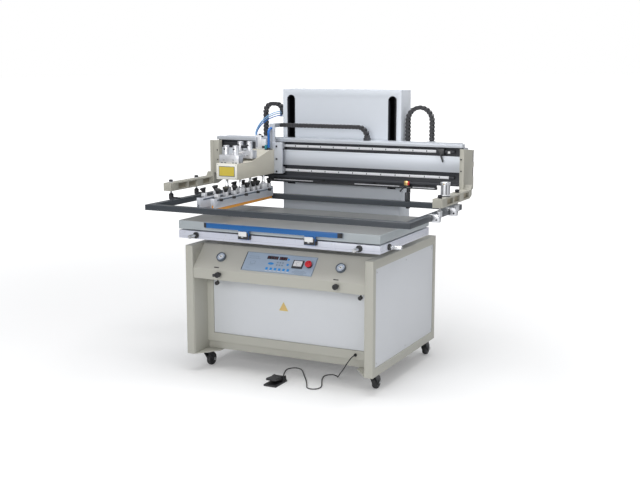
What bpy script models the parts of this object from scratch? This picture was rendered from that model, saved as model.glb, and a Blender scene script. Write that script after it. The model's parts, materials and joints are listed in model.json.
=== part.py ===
# Flatbed screen printing machine: printing table on a base cabinet, lifting beam with screen frame,
# travelling print head with squeegee and flood bar, on four swivel casters.
# Metres, +Z up, +X to the right, the operator stands at -Y. The origin is on the floor, under the
# middle of the machine's box.
import bmesh
import bpy
from math import cos, pi, radians, sin
from mathutils import Matrix, Vector

# Base cabinet
BASE_WIDTH = 1.1225
BASE_DEPTH = 0.913
BASE_BOTTOM = 0.1026
BASE_TOP = 0.715
POST = 0.046
SIDE_POST = 0.036
BOTTOM_RAIL = 0.047
SHEET = 0.003
SEAT = 0.0003
FLUSH_STEP = 0.004
CONSOLE_CREASE_Z = 0.591
CONSOLE_RAIL_Z = 0.536
CONSOLE_RUN = 0.116
CONSOLE_TOP_DROP = 0.003
RECESS_DEPTH = 0.138
RECESS_UPRIGHT = 0.0424
RECESS_FRAME_DEPTH = 0.040
RETURN_SHEET = 0.004
SILL_TOP_Z = 0.200
SILL_STEP_Z = 0.151
SILL_STEP = 0.012
GUSSET_RUN = 0.120
GUSSET_WIDTH = 0.095
GUSSET_THICKNESS = 0.006
REAR_RIM = 0.040
DECK_THICKNESS = 0.006
CONTROL_PANEL_LEFT = -0.219
CONTROL_PANEL_RIGHT = 0.205
CONTROL_PANEL_HEIGHT = 0.1175
CONTROL_PANEL_SHARE = 0.448
CONTROL_PANEL_THICKNESS = 0.004
GAUGE_RADIUS = 0.027
GAUGE_DEPTH = 0.014
GAUGE_SLOPE_SHARE = 0.486
GAUGE_LEFT_X = -0.364
GAUGE_RIGHT_X = 0.356
STOP_X = 0.173
STOP_SHARE = 0.471
STOP_RADIUS = 0.019
STOP_HEIGHT = 0.026
REGULATOR_LEFT_X = -0.345
REGULATOR_RIGHT_X = 0.359
REGULATOR_RADIUS = 0.015
REGULATOR_LENGTH = 0.036
REGULATOR_Z = 0.570

# Column behind the table
COLUMN_WIDTH = 0.758
COLUMN_FRONT = BASE_DEPTH - 0.107
COLUMN_BACK = BASE_DEPTH + 0.040
COLUMN_TOP = 1.547
COLUMN_WALL = 0.004
SLOT_WIDTH = 0.050
SLOT_INSET = 0.0545
SLOT_X = COLUMN_WIDTH / 2 - SLOT_INSET
SLOT_BOTTOM = 0.985
SLOT_TOP = 1.512
GUIDE_RADIUS = 0.0125
GUIDE_Y = COLUMN_FRONT + 0.062
GUIDE_FOOT = 0.030
GUIDE_FOOT_HEIGHT = 0.012
RUNNING_GAP = 0.0005

# Table
TABLE_WIDTH = 1.198
TABLE_DEPTH = 0.692
TABLE_FRONT = -0.0024
TABLE_TOP = 0.851
TABLE_BOTTOM = 0.804
BAND_TOP = 0.797
BAND_BOTTOM = 0.7545
BAND_WALL = 0.030
BAND_FLOOR = 0.014
BEARER_WIDTH = 0.070
BEARER_X = 0.36
SLIDE_INSET_X = 0.079
SLIDE_INSET_Y = 0.076
SLIDE_WIDTH = TABLE_WIDTH - 2 * SLIDE_INSET_X
SLIDE_DEPTH = TABLE_DEPTH - 2 * SLIDE_INSET_Y
BAR_LEFT = -0.425
BAR_RIGHT = 0.397
BAR_HEIGHT = 0.026
BAR_THICKNESS = 0.016
BAR_Z = 0.838
BAR_BACK = -0.016
BAR_TAPER = 0.022
BAR_TIP_DEPTH = 0.005
SWITCH_WIDTH = 0.062
SWITCH_X = (-0.175, 0.217)
SWITCH_STEP_Z = 0.7985
SWITCH_BOTTOM = 0.777
KNOB_Z = 0.776
KNOB_X = 0.485
KNOB_SIDE_Y = 0.105
KNOB_RING_RADIUS = 0.017
KNOB_RING_DEPTH = 0.010
KNOB_BARREL_RADIUS = 0.0105
KNOB_REACH = 0.072

# Lifting beam, whose ends carry the arms just outside the screen frame
FRAME_WIDTH = 1.560
BEAM_HALF = FRAME_WIDTH / 2 - SEAT
BEAM_FRONT = COLUMN_FRONT - 0.106
BEAM_BACK = COLUMN_FRONT - 0.006
BEAM_TOP = 1.262
BEAM_BOTTOM = 1.031
REBATE_LENGTH = 0.030
REBATE_START = 0.045
REBATE_DROP = 0.024
CHANNEL_DEPTH = 0.022
UPPER_CHANNEL = (1.195, 1.242)
LOWER_CHANNEL = (1.045, 1.107)
RAIL_HEIGHT = 0.015
RAIL_DEPTH = 0.016
RAIL_INSET = 0.0447
RAIL_HALF = BEAM_HALF - RAIL_INSET
TROUGH_INSET = (0.330, 0.160)
TROUGH = (TROUGH_INSET[0] - BEAM_HALF, BEAM_HALF - TROUGH_INSET[1])
TROUGH_Y = (BEAM_FRONT + 0.038, BEAM_FRONT + 0.062)
TROUGH_Z = (1.000, 1.014)
SPACER = 0.020
END_PLATE = 0.024
END_PLATE_FRONT = BEAM_FRONT - 0.040
END_PLATE_BACK = BEAM_BACK + 0.035
END_PLATE_TOP = 1.240
END_PLATE_FALL = 0.017
ARM_BOTTOM = 0.975
ARM_HEIGHT = 0.046
ARM_TOP = ARM_BOTTOM + ARM_HEIGHT
ARM_TIP = 0.215
ARM_ROOT = BEAM_FRONT - 0.010
ARM_START = 0.010
ARM_WIDTH = 0.053
POCKET_DEPTH = 0.016
POCKET_RIM = 0.008
POCKETS = ((0.290, 0.385), (0.400, 0.488), (0.552, 0.640))
NOTCHES = ((1.078, 1.129), (1.157, 1.215))
NOTCH_DEPTH = 0.020
CLAMP_Y = (0.252, 0.520)
CLAMP_SCREW = 0.006
CLAMP_KNOB_RADIUS = 0.012
CLAMP_KNOB_HEIGHT = 0.022
CLAMP_BODY_RADIUS = 0.010
CLAMP_BODY_HEIGHT = 0.026
JAW = 0.005
JAW_LENGTH = 0.026
LIFT_BLOCK_Z = (1.070, 1.200)
LIFT_NECK = 0.038
LIFT_BLOCK = 0.062

# Screen frame
FRAME_FRONT = -0.060
FRAME_BACK = BEAM_FRONT + 0.019
FRAME_BOTTOM = 0.902
FRAME_TOP = 0.933
FRAME_TUBE = 0.040
HANGER_X = 0.46
HANGER_WIDTH = 0.016
STOP_INSET = 0.1247
STOP_CLAMP_X = BEAM_HALF - STOP_INSET

# Arm cylinder
CYLINDER_Y = 0.334
CYLINDER_RADIUS = 0.0265
CYLINDER_HEIGHT = 0.074

# Print head
HEAD_X = -0.426
HEAD_WIDTH = 0.133
HEAD_FRONT = 0.227
HEAD_FLAT = 0.393
HEAD_SLOPE_END = 0.600
HEAD_BOTTOM = 1.059
HEAD_NOSE_TOP = 1.148
HEAD_TOP = 1.198
PLATE_WIDTH = 0.236
PLATE_FRONT = BEAM_FRONT - 0.045
PLATE_THICKNESS = 0.014
PLATE_Z = (1.058, 1.241)
BEARING_LENGTH = 0.070
BEARING_HEIGHT = 0.036
BLADE_FRONT = 0.000
BLADE_BACK = FRAME_BACK - 0.059
SQUEEGEE_X = -0.382
FLOOD_X = -0.470
BLADE_BOTTOM = 0.908
HOLDER_BOTTOM = 0.925
HOLDER_TOP = 0.980
HOLDER_THICKNESS = 0.022
ROD_RADIUS = 0.008
ROD_Y = (0.300, 0.560)
ROD_DEPTH = 0.030
BORE_DEPTH = 0.046
BORE_GAP = 0.0005
PRINT_CYLINDER_Y = (0.275, 0.430)
PRINT_CYLINDER_RADIUS = 0.016
PRINT_CYLINDER_TOP = (1.246, 1.258)

# Drag chains
CHAIN_THICKNESS = 0.023
CHAIN_WIDTH = 0.034
LINK_PITCH = 0.022
LINK_BODY = 0.78
LINK_WAIST = 0.72
LIFT_CHAIN_Y = GUIDE_Y - 0.010
ANCHOR_THICKNESS = 0.012
# Each lift chain: near leg, far leg, top of the centre line, bend radius, and the column bracket's height
LEFT_CHAIN_NEAR = 0.030
LEFT_CHAIN_SPAN = 0.115
RIGHT_CHAIN_NEAR = 0.022
RIGHT_CHAIN_SPAN = 0.145
LEFT_CHAIN = (COLUMN_WIDTH / 2 + LEFT_CHAIN_NEAR, COLUMN_WIDTH / 2 + LEFT_CHAIN_NEAR + LEFT_CHAIN_SPAN,
              1.456, 0.045, 1.392)
RIGHT_CHAIN = (COLUMN_WIDTH / 2 + RIGHT_CHAIN_NEAR, COLUMN_WIDTH / 2 + RIGHT_CHAIN_NEAR + RIGHT_CHAIN_SPAN,
               1.450, RIGHT_CHAIN_SPAN / 2, 1.200)
CARRIAGE_CHAIN_Z = 1.337
CARRIAGE_CHAIN_BEND = 0.056
CARRIAGE_CHAIN_TURN_X = 0.142
CARRIAGE_CHAIN_Y = BEAM_FRONT + 0.040
CHAIN_FOOT = 0.016
BRACKET_X = 0.055

# Casters
WHEEL_RADIUS = 0.0375
WHEEL_WIDTH = 0.024
AXLE_RADIUS = 0.006
CASTER_X = 0.510
CASTER_Y = (0.128, BASE_DEPTH - 0.041)
CASTER_TRAIL = 0.042
FORK_SIDE = 0.004
FORK_GAP = 0.003
CASTER_PLATE = 0.006
CASTER_PLATE_RADIUS = 0.032

# Foot pedal and cord
PEDAL_X = -0.0075
PEDAL_WIDTH = 0.074
PEDAL_FRONT = -0.058
PEDAL_LENGTH = 0.130
PEDAL_BASE = 0.010
PEDAL_HINGE_Z = 0.026
CORD_RADIUS = 0.003
CORD_FLOOR_GAP = 0.0004
GLAND_X = 0.403
GLAND_Z = 0.177

# The operator side of the base, so that the whole box is centred on the origin
FRONT_REACH = KNOB_REACH + SEAT - TABLE_FRONT
FRONT = -(COLUMN_BACK - FRONT_REACH) / 2
EDGE = 0.0015


def fresh_scene():
    for obj in list(bpy.data.objects):
        bpy.data.objects.remove(obj, do_unlink=True)
    part = bpy.data.collections.new("flatbed_screen_printer")
    bpy.context.scene.collection.children.link(part)
    return part


PART = fresh_scene()


def material(name, colour, roughness, metallic=0.0):
    found = bpy.data.materials.get(name)
    if found:
        return found
    made = bpy.data.materials.new(name)
    made.use_nodes = True
    shader = made.node_tree.nodes["Principled BSDF"]
    shader.inputs["Base Color"].default_value = (*colour, 1.0)
    shader.inputs["Roughness"].default_value = roughness
    shader.inputs["Metallic"].default_value = metallic
    return made


def cream():
    return material("cream_paint", (0.52, 0.51, 0.44), 0.45)


def white():
    return material("white_panel", (0.72, 0.73, 0.75), 0.5)


def aluminium():
    return material("aluminium", (0.72, 0.73, 0.75), 0.35, 0.9)


def steel():
    return material("polished_steel", (0.65, 0.66, 0.68), 0.2, 1.0)


def table_sheet():
    return material("table_sheet", (0.42, 0.42, 0.40), 0.35, 0.4)


def slate():
    return material("slate_frame", (0.09, 0.11, 0.14), 0.4, 0.3)


def black():
    return material("black_plastic", (0.02, 0.02, 0.022), 0.5)


def rubber():
    return material("wheel_rubber", (0.05, 0.05, 0.052), 0.7)


def blue():
    return material("blue_bar", (0.01, 0.10, 0.42), 0.35)


def orange():
    return material("blade_rubber", (0.80, 0.33, 0.03), 0.45)


def red():
    return material("stop_red", (0.60, 0.02, 0.02), 0.3)


def membrane():
    return material("membrane", (0.40, 0.47, 0.53), 0.4)


def column_paint():
    return material("column_paint", (0.70, 0.71, 0.73), 0.45)


def place(obj, collection=PART):
    for old in list(obj.users_collection):
        old.objects.unlink(obj)
    collection.objects.link(obj)
    return obj


def box(name, x, y, z, finish=None):
    """A box between two values on each axis, y counted from the base's front."""
    bpy.ops.mesh.primitive_cube_add(size=1.0)
    obj = place(bpy.context.active_object)
    obj.name = name
    low = Vector((min(x), min(y) + FRONT, min(z)))
    high = Vector((max(x), max(y) + FRONT, max(z)))
    obj.data.transform(Matrix.Diagonal((*(high - low), 1.0)))
    obj.location = (low + high) / 2
    if finish:
        obj.data.materials.append(finish)
    return obj


def bar_round(name, start, end, radius, finish=None, sides=24):
    """A cylinder between two points, y counted from the base's front."""
    a = Vector(start) + Vector((0, FRONT, 0))
    b = Vector(end) + Vector((0, FRONT, 0))
    bpy.ops.mesh.primitive_cylinder_add(vertices=sides, radius=radius, depth=(b - a).length)
    obj = place(bpy.context.active_object)
    obj.name = name
    obj.rotation_euler = (b - a).to_track_quat("Z", "Y").to_euler()
    obj.location = (a + b) / 2
    if finish:
        obj.data.materials.append(finish)
    return obj


def meshed(obj):
    """The evaluated shape as one welded mesh object in place of the old one."""
    bpy.context.view_layer.update()
    graph = bpy.context.evaluated_depsgraph_get()
    mesh = bpy.data.meshes.new_from_object(obj.evaluated_get(graph))
    made = bpy.data.objects.new(obj.name + "_mesh", mesh)
    made.matrix_world = obj.matrix_world.copy()
    PART.objects.link(made)
    name = obj.name
    bpy.data.objects.remove(obj, do_unlink=True)
    made.name = name
    return weld(made)


def weld(obj):
    shape = bmesh.new()
    shape.from_mesh(obj.data)
    bmesh.ops.remove_doubles(shape, verts=shape.verts, dist=0.00001)
    shape.to_mesh(obj.data)
    shape.free()
    return obj


def outline(name, points, low, high, axis="X", finish=None):
    """A flat outline raised along an axis: (y, z) points along X, (x, y) points along Z."""
    curve = bpy.data.curves.new(name, "CURVE")
    curve.dimensions = "2D"
    curve.fill_mode = "BOTH"
    curve.extrude = abs(high - low) / 2
    spline = curve.splines.new("POLY")
    spline.points.add(len(points) - 1)
    for point, (u, v) in zip(spline.points, points):
        shift = FRONT if axis == "X" else 0.0
        rise = FRONT if axis == "Z" else 0.0
        point.co = (u + shift, v + rise, 0, 1)
    spline.use_cyclic_u = True
    obj = bpy.data.objects.new(name, curve)
    PART.objects.link(obj)
    middle = (low + high) / 2
    if axis == "X":
        obj.matrix_world = Matrix(((0, 0, 1, middle), (1, 0, 0, 0), (0, 1, 0, 0), (0, 0, 0, 1)))
    else:
        obj.matrix_world = Matrix.Translation((0, 0, middle))
    made = meshed(obj)
    if finish:
        made.data.materials.append(finish)
    return made


def combine(base, tools, operation):
    for tool in tools:
        change = base.modifiers.new(operation.lower(), "BOOLEAN")
        change.operation = operation
        change.solver = "EXACT"
        change.object = tool
    made = meshed_keep(base)
    for tool in tools:
        bpy.data.objects.remove(tool, do_unlink=True)
    return made


def meshed_keep(obj):
    finish = obj.data.materials[0] if len(obj.data.materials) else None
    made = meshed(obj)
    made.data.materials.clear()
    if finish:
        made.data.materials.append(finish)
    for face in made.data.polygons:
        face.material_index = 0
    return made


def fuse(base, *tools):
    return combine(base, tools, "UNION")


def cut(base, *tools):
    return combine(base, tools, "DIFFERENCE")


def soften(obj, width=EDGE, segments=1, angle=40):
    edge = obj.modifiers.new("edges", "BEVEL")
    edge.width = width
    edge.segments = segments
    edge.limit_method = "ANGLE"
    edge.angle_limit = radians(angle)
    edge.harden_normals = False
    return obj


def tube(name, points, radius, finish, closed_ends=True, sides=2):
    curve = bpy.data.curves.new(name, "CURVE")
    curve.dimensions = "3D"
    curve.bevel_depth = radius
    curve.bevel_resolution = sides
    curve.use_fill_caps = closed_ends
    curve.render_resolution_u = 0
    spline = curve.splines.new("POLY")
    spline.points.add(len(points) - 1)
    for point, place_at in zip(spline.points, points):
        point.co = (place_at[0], place_at[1] + FRONT, place_at[2], 1)
    obj = bpy.data.objects.new(name, curve)
    PART.objects.link(obj)
    obj.data.materials.append(finish)
    return obj


def smooth_route(points, step):
    """Points about one step apart along a smooth curve through the route's own points."""
    found = []
    last = len(points) - 1
    for i in range(last):
        before = Vector(points[max(i - 1, 0)])
        start = Vector(points[i])
        end = Vector(points[i + 1])
        after = Vector(points[min(i + 2, last)])
        count = max(1, round((end - start).length / step))
        for j in range(count):
            t = j / count
            a = 2 * start
            b = (end - before) * t
            c = (2 * before - 5 * start + 4 * end - after) * t * t
            d = (3 * start - before - 3 * end + after) * t ** 3
            found.append((a + b + c + d) / 2)
    found.append(Vector(points[-1]))
    return found


HALF = BASE_WIDTH / 2
INNER = HALF - POST


# Base cabinet

def side_frame(side, name):
    """Two posts, two rails, and the corner plates that carry the casters."""
    x = (side * INNER, side * HALF)
    frame = box(name, x, (0, BASE_DEPTH), (BASE_BOTTOM, BASE_TOP), cream())
    window = box("window", (side * (INNER - 0.01), side * (HALF + 0.01)),
                 (SIDE_POST, BASE_DEPTH - SIDE_POST), (BASE_BOTTOM + BOTTOM_RAIL, BASE_TOP - POST))
    frame = cut(frame, window)
    top = BASE_BOTTOM + GUSSET_THICKNESS
    inner = side * (INNER - GUSSET_WIDTH)
    outer = side * (INNER + POST / 2)
    front_plate = outline("front_plate", [(outer, 0.0), (side * INNER, 0.0), (inner, GUSSET_RUN),
                          (inner, GUSSET_RUN + 0.07), (outer, GUSSET_RUN + 0.07)],
                          BASE_BOTTOM, top, "Z")
    rear = BASE_DEPTH
    rear_plate = outline("rear_plate", [(outer, rear), (side * INNER, rear), (inner, rear - 0.06),
                         (inner, rear - GUSSET_RUN), (outer, rear - GUSSET_RUN)],
                         BASE_BOTTOM, top, "Z")
    return fuse(frame, front_plate, rear_plate)


def side_panel(side, name):
    gap = SEAT
    x = (side * (HALF - FLUSH_STEP - SHEET * 3), side * (HALF - FLUSH_STEP))
    return box(name, x, (SIDE_POST + gap, BASE_DEPTH - SIDE_POST - gap),
               (BASE_BOTTOM + BOTTOM_RAIL + gap, BASE_TOP - POST - gap), white())


def console():
    """The sloped control front with its rail, closed in behind."""
    top = BASE_TOP - CONSOLE_TOP_DROP
    back = RECESS_DEPTH + 0.10
    points = [(FLUSH_STEP, CONSOLE_RAIL_Z), (FLUSH_STEP, CONSOLE_CREASE_Z),
              (FLUSH_STEP + CONSOLE_RUN, top), (back, top), (back, CONSOLE_RAIL_Z)]
    front = outline("console", points, -INNER + SEAT, INNER - SEAT, "X", cream())
    return fuse(front, deck())


def slope_frame(x, share, lift=0.0):
    """A place on the console's slope: its matrix has local +Z out of the slope."""
    run = CONSOLE_RUN
    rise = BASE_TOP - CONSOLE_TOP_DROP - CONSOLE_CREASE_Z
    along = Vector((0, run, rise))
    out = Vector((0, -rise, run)).normalized()
    origin = Vector((x, FLUSH_STEP + FRONT, CONSOLE_CREASE_Z)) + along * share + out * lift
    y_axis = along.normalized()
    matrix = Matrix((Vector((1, 0, 0)), y_axis, out)).transposed().to_4x4()
    matrix.translation = origin
    return matrix


def on_slope(obj, x, share, lift):
    obj.matrix_world = slope_frame(x, share, lift)
    return obj


def turned(name, profile, finish, sides=24):
    """A closed turned solid about local Z from (radius, height) points, bottom to top."""
    mesh = bpy.data.meshes.new(name)
    obj = bpy.data.objects.new(name, mesh)
    PART.objects.link(obj)
    points = [(0.0, profile[0][1])] + list(profile) + [(0.0, profile[-1][1])]
    points.reverse()
    mesh.from_pydata([(r, 0, h) for r, h in points],
                     [(i, i + 1) for i in range(len(points) - 1)], [])
    spin = obj.modifiers.new("turn", "SCREW")
    spin.axis = "Z"
    spin.angle = 2 * pi
    spin.steps = sides
    spin.render_steps = sides
    spin.use_merge_vertices = True
    spin.merge_threshold = 0.00001
    spin.use_smooth_shade = False
    obj.data.materials.append(finish)
    return obj


def control_panel():
    middle = (CONTROL_PANEL_LEFT + CONTROL_PANEL_RIGHT) / 2
    width = CONTROL_PANEL_RIGHT - CONTROL_PANEL_LEFT
    bpy.ops.mesh.primitive_cube_add(size=1.0)
    plate = place(bpy.context.active_object)
    plate.name = "control_panel"
    plate.data.transform(Matrix.Diagonal((width, CONTROL_PANEL_HEIGHT, CONTROL_PANEL_THICKNESS, 1)))
    plate.data.materials.append(membrane())
    return on_slope(plate, middle, CONTROL_PANEL_SHARE, CONTROL_PANEL_THICKNESS / 2 + SEAT)


def gauge(name, x):
    rim = GAUGE_RADIUS
    profile = [(rim, 0), (rim, GAUGE_DEPTH), (rim - 0.003, GAUGE_DEPTH + 0.002),
               (rim - 0.005, GAUGE_DEPTH)]
    return on_slope(turned(name, profile, steel(), 32), x, GAUGE_SLOPE_SHARE, SEAT)


def emergency_stop():
    profile = [(0.012, 0), (0.012, STOP_HEIGHT * 0.45), (STOP_RADIUS, STOP_HEIGHT * 0.5),
               (STOP_RADIUS, STOP_HEIGHT * 0.85), (STOP_RADIUS * 0.7, STOP_HEIGHT)]
    return on_slope(turned("emergency_stop", profile, red()), STOP_X, STOP_SHARE,
                    CONTROL_PANEL_THICKNESS + 2 * SEAT)


def regulator(name, x):
    profile = [(REGULATOR_RADIUS * 0.6, 0), (REGULATOR_RADIUS * 0.6, REGULATOR_LENGTH * 0.3),
               (REGULATOR_RADIUS, REGULATOR_LENGTH * 0.35), (REGULATOR_RADIUS, REGULATOR_LENGTH)]
    knob = turned(name, profile, black())
    knob.rotation_euler = (pi / 2, 0, 0)
    knob.location = (x, FRONT + FLUSH_STEP - SEAT, REGULATOR_Z)
    return knob


def recess_frame():
    """Uprights, stepped sill and side returns round the white front panel."""
    y = (RECESS_DEPTH, RECESS_DEPTH + RECESS_FRAME_DEPTH)
    half = INNER - SEAT
    low = BASE_BOTTOM + GUSSET_THICKNESS + SEAT
    high = CONSOLE_RAIL_Z - SEAT
    frame = box("recess_frame", (-half, half), y, (low, high), cream())
    opening = box("opening", (-half + RECESS_UPRIGHT, half - RECESS_UPRIGHT),
                  (y[0] - RECESS_FRAME_DEPTH, y[1] + RECESS_FRAME_DEPTH),
                  (SILL_TOP_Z, high + RECESS_FRAME_DEPTH))
    step = box("step", (-half * 2, half * 2), (y[0] - RECESS_FRAME_DEPTH, y[0] + SILL_STEP),
               (0.0, SILL_STEP_Z))
    returns = [box("return", (side * (half - RETURN_SHEET), side * half), (FLUSH_STEP, y[1] - SILL_STEP),
                   (low, high)) for side in (-1, 1)]
    return fuse(cut(frame, opening, step), *returns)


def recess_panel():
    half = INNER - SEAT - RECESS_UPRIGHT - SEAT
    return box("recess_panel", (-half, half), (RECESS_DEPTH + 0.008, RECESS_DEPTH + 0.020),
               (SILL_TOP_Z + SEAT, CONSOLE_RAIL_Z - SEAT), white())


def rear_wall():
    """The rear cover between the posts: a rim of folded rails round a set-back panel."""
    half = INNER - SEAT
    low = BASE_BOTTOM + GUSSET_THICKNESS + SEAT
    high = BASE_TOP - DECK_THICKNESS - SEAT
    wall = box("rear_wall", (-half, half), (BASE_DEPTH - REAR_RIM, BASE_DEPTH - FLUSH_STEP), (low, high), cream())
    rim = REAR_RIM
    outside = box("outside", (-half + rim, half - rim), (BASE_DEPTH - FLUSH_STEP * 2, BASE_DEPTH + 0.1),
                  (low + rim, high - rim))
    inside = box("inside", (-half + rim, half - rim),
                 (BASE_DEPTH - 0.1, BASE_DEPTH - FLUSH_STEP * 2 - SHEET), (low + rim, high - rim))
    return cut(wall, outside, inside)


def deck():
    """The top sheet behind the console, which carries the column and the table."""
    half = INNER - SEAT
    return box("deck", (-half, half), (RECESS_DEPTH + 0.05, BASE_DEPTH - FLUSH_STEP),
               (BASE_TOP - DECK_THICKNESS, BASE_TOP))


# Column

def column():
    """The slotted hollow column, with a bracket at each side for the lift chains."""
    half = COLUMN_WIDTH / 2
    low = BASE_TOP + SEAT
    body = box("column", (-half, half), (COLUMN_FRONT, COLUMN_BACK), (low, COLUMN_TOP), column_paint())
    wall = COLUMN_WALL
    hollow = box("hollow", (-half + wall, half - wall), (COLUMN_FRONT + wall, COLUMN_BACK - wall),
                 (low - 0.05, COLUMN_TOP - wall))
    cutters = [hollow]
    for x in (-SLOT_X, SLOT_X):
        radius = SLOT_WIDTH / 2
        reach = (COLUMN_FRONT - 0.05, COLUMN_FRONT + 0.05)
        cutters.append(box("slot", (x - radius, x + radius), reach,
                           (SLOT_BOTTOM, SLOT_TOP - radius)))
        cutters.append(bar_round("slot_top", (x, reach[0], SLOT_TOP - radius),
                                 (x, reach[1], SLOT_TOP - radius), radius - 0.00001))
    brackets = []
    for side, (near, _, _, _, anchor) in ((-1, LEFT_CHAIN), (1, RIGHT_CHAIN)):
        brackets.append(box("bracket", (side * (half - wall / 2), side * (near + CHAIN_THICKNESS * 0.6)),
                            (LIFT_CHAIN_Y - CHAIN_WIDTH / 2, LIFT_CHAIN_Y + CHAIN_WIDTH / 2),
                            (anchor - ANCHOR_THICKNESS, anchor)))
    return fuse(cut(body, *cutters), *brackets)


def guide_rods():
    """Two upright rods inside the column on a common foot."""
    low = BASE_TOP + SEAT
    foot = box("guide_rods", (-SLOT_X - GUIDE_FOOT, SLOT_X + GUIDE_FOOT),
               (GUIDE_Y - GUIDE_FOOT, GUIDE_Y + GUIDE_FOOT), (low, low + GUIDE_FOOT_HEIGHT), steel())
    rods = [bar_round("rod", (x, GUIDE_Y, low + GUIDE_FOOT_HEIGHT / 2), (x, GUIDE_Y, COLUMN_TOP - COLUMN_WALL - SEAT),
                      GUIDE_RADIUS, None, 20) for x in (-SLOT_X, SLOT_X)]
    return fuse(foot, *rods)


# Table

def table_band():
    half = TABLE_WIDTH / 2
    back = TABLE_FRONT + TABLE_DEPTH
    band = box("table_band", (-half, half), (TABLE_FRONT, back), (BAND_BOTTOM, BAND_TOP), aluminium())
    hollow = box("hollow", (-half + BAND_WALL, half - BAND_WALL),
                 (TABLE_FRONT + BAND_WALL, back - BAND_WALL), (BAND_BOTTOM + BAND_FLOOR, BAND_TOP + 0.02))
    band = cut(band, hollow)
    bearers = []
    for x in (-BEARER_X, BEARER_X):
        bearers.append(box("bearer", (x - BEARER_WIDTH / 2, x + BEARER_WIDTH / 2),
                           (RECESS_DEPTH + 0.12, back - 0.05), (BASE_TOP + SEAT, BAND_BOTTOM + 0.005)))
    return fuse(band, *bearers)


def cross_slide():
    middle = TABLE_FRONT + TABLE_DEPTH / 2
    return box("cross_slide", (-SLIDE_WIDTH / 2, SLIDE_WIDTH / 2),
               (middle - SLIDE_DEPTH / 2, middle + SLIDE_DEPTH / 2),
               (BAND_BOTTOM + BAND_FLOOR + SEAT, TABLE_BOTTOM - SEAT), steel())


def table_top():
    half = TABLE_WIDTH / 2
    top = box("table_top", (-half, half), (TABLE_FRONT, TABLE_FRONT + TABLE_DEPTH),
              (TABLE_BOTTOM, TABLE_TOP), table_sheet())
    return soften(top)


def safety_bar():
    """The blue front bar on its two switch boxes."""
    y = (BAR_BACK - BAR_THICKNESS, BAR_BACK)
    z = (BAR_Z - BAR_HEIGHT / 2, BAR_Z + BAR_HEIGHT / 2)
    tip = y[1] - BAR_TIP_DEPTH
    plan = [(BAR_LEFT, y[1]), (BAR_LEFT, tip), (BAR_LEFT + BAR_TAPER, y[0]), (BAR_RIGHT - BAR_TAPER, y[0]),
            (BAR_RIGHT, tip), (BAR_RIGHT, y[1])]
    bar = outline("safety_bar", plan, z[0], z[1], "Z", blue())
    tools = []
    for x in SWITCH_X:
        tools.append(box("upper", (x - SWITCH_WIDTH / 2, x + SWITCH_WIDTH / 2), (y[0] + 0.001, y[1] - 0.001),
                         (SWITCH_BOTTOM, z[0] + 0.004)))
        tools.append(box("lower", (x - SWITCH_WIDTH / 2 + 0.001, x + SWITCH_WIDTH / 2 - 0.001),
                         (y[0] + 0.002, TABLE_FRONT - SEAT), (SWITCH_BOTTOM + 0.001, SWITCH_STEP_Z)))
    return fuse(bar, *tools)


def register_knob(name, x, y, direction):
    """A micrometer knob, its black ring against the aluminium band."""
    reach = KNOB_REACH
    profile = [(KNOB_RING_RADIUS, 0), (KNOB_RING_RADIUS, KNOB_RING_DEPTH),
               (KNOB_BARREL_RADIUS, KNOB_RING_DEPTH + 0.002), (KNOB_BARREL_RADIUS, reach - 0.002),
               (KNOB_BARREL_RADIUS - 0.002, reach)]
    knob = turned(name, profile, steel())
    knob.rotation_euler = Vector(direction).to_track_quat("Z", "Y").to_euler()
    knob.location = (x, y + FRONT, KNOB_Z)
    return knob


# Beam

def beam():
    """The beam extrusion: top lip, two rail channels, and a lower trough on spacers."""
    f, b = BEAM_FRONT, BEAM_BACK
    inner = f + CHANNEL_DEPTH
    points = [(f, BEAM_BOTTOM), (b, BEAM_BOTTOM), (b, BEAM_TOP), (f, BEAM_TOP),
              (f, UPPER_CHANNEL[1]), (inner, UPPER_CHANNEL[1]), (inner, UPPER_CHANNEL[0]),
              (f, UPPER_CHANNEL[0]), (f, LOWER_CHANNEL[1]), (inner, LOWER_CHANNEL[1]),
              (inner, LOWER_CHANNEL[0]), (f, LOWER_CHANNEL[0])]
    extrusion = outline("beam", points, -BEAM_HALF, BEAM_HALF, "X", aluminium())
    bores = []
    blocks = []
    for x in (-SLOT_X, SLOT_X):
        blocks += lift_block(x)
        bores.append(bar_round("bore", (x, GUIDE_Y, LIFT_BLOCK_Z[0] - 0.02), (x, GUIDE_Y, LIFT_BLOCK_Z[1] + 0.02),
                               GUIDE_RADIUS + RUNNING_GAP, None, 20))
    for x in (-LEFT_CHAIN[1], RIGHT_CHAIN[1]):
        blocks.append(box("tab", (x - 0.016, x + 0.016), (BEAM_BACK - 0.010, LIFT_CHAIN_Y + CHAIN_WIDTH / 2),
                          (BEAM_TOP - 0.012, BEAM_TOP)))
    for side in (-1, 1):
        bores.append(box("rebate", (side * (BEAM_HALF - REBATE_LENGTH), side * (BEAM_HALF + REBATE_LENGTH)),
                         (f + REBATE_START, b + REBATE_START), (BEAM_TOP - REBATE_DROP, BEAM_TOP + REBATE_DROP)))
    return cut(fuse(extrusion, *blocks), *bores)


def rail_middle(channel):
    return (channel[0] + channel[1]) / 2


def guide_rail(name, channel):
    z = rail_middle(channel)
    back = BEAM_FRONT + CHANNEL_DEPTH - SEAT
    return box(name, (-RAIL_HALF, RAIL_HALF), (back - RAIL_DEPTH, back),
               (z - RAIL_HEIGHT / 2, z + RAIL_HEIGHT / 2), steel())


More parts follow.
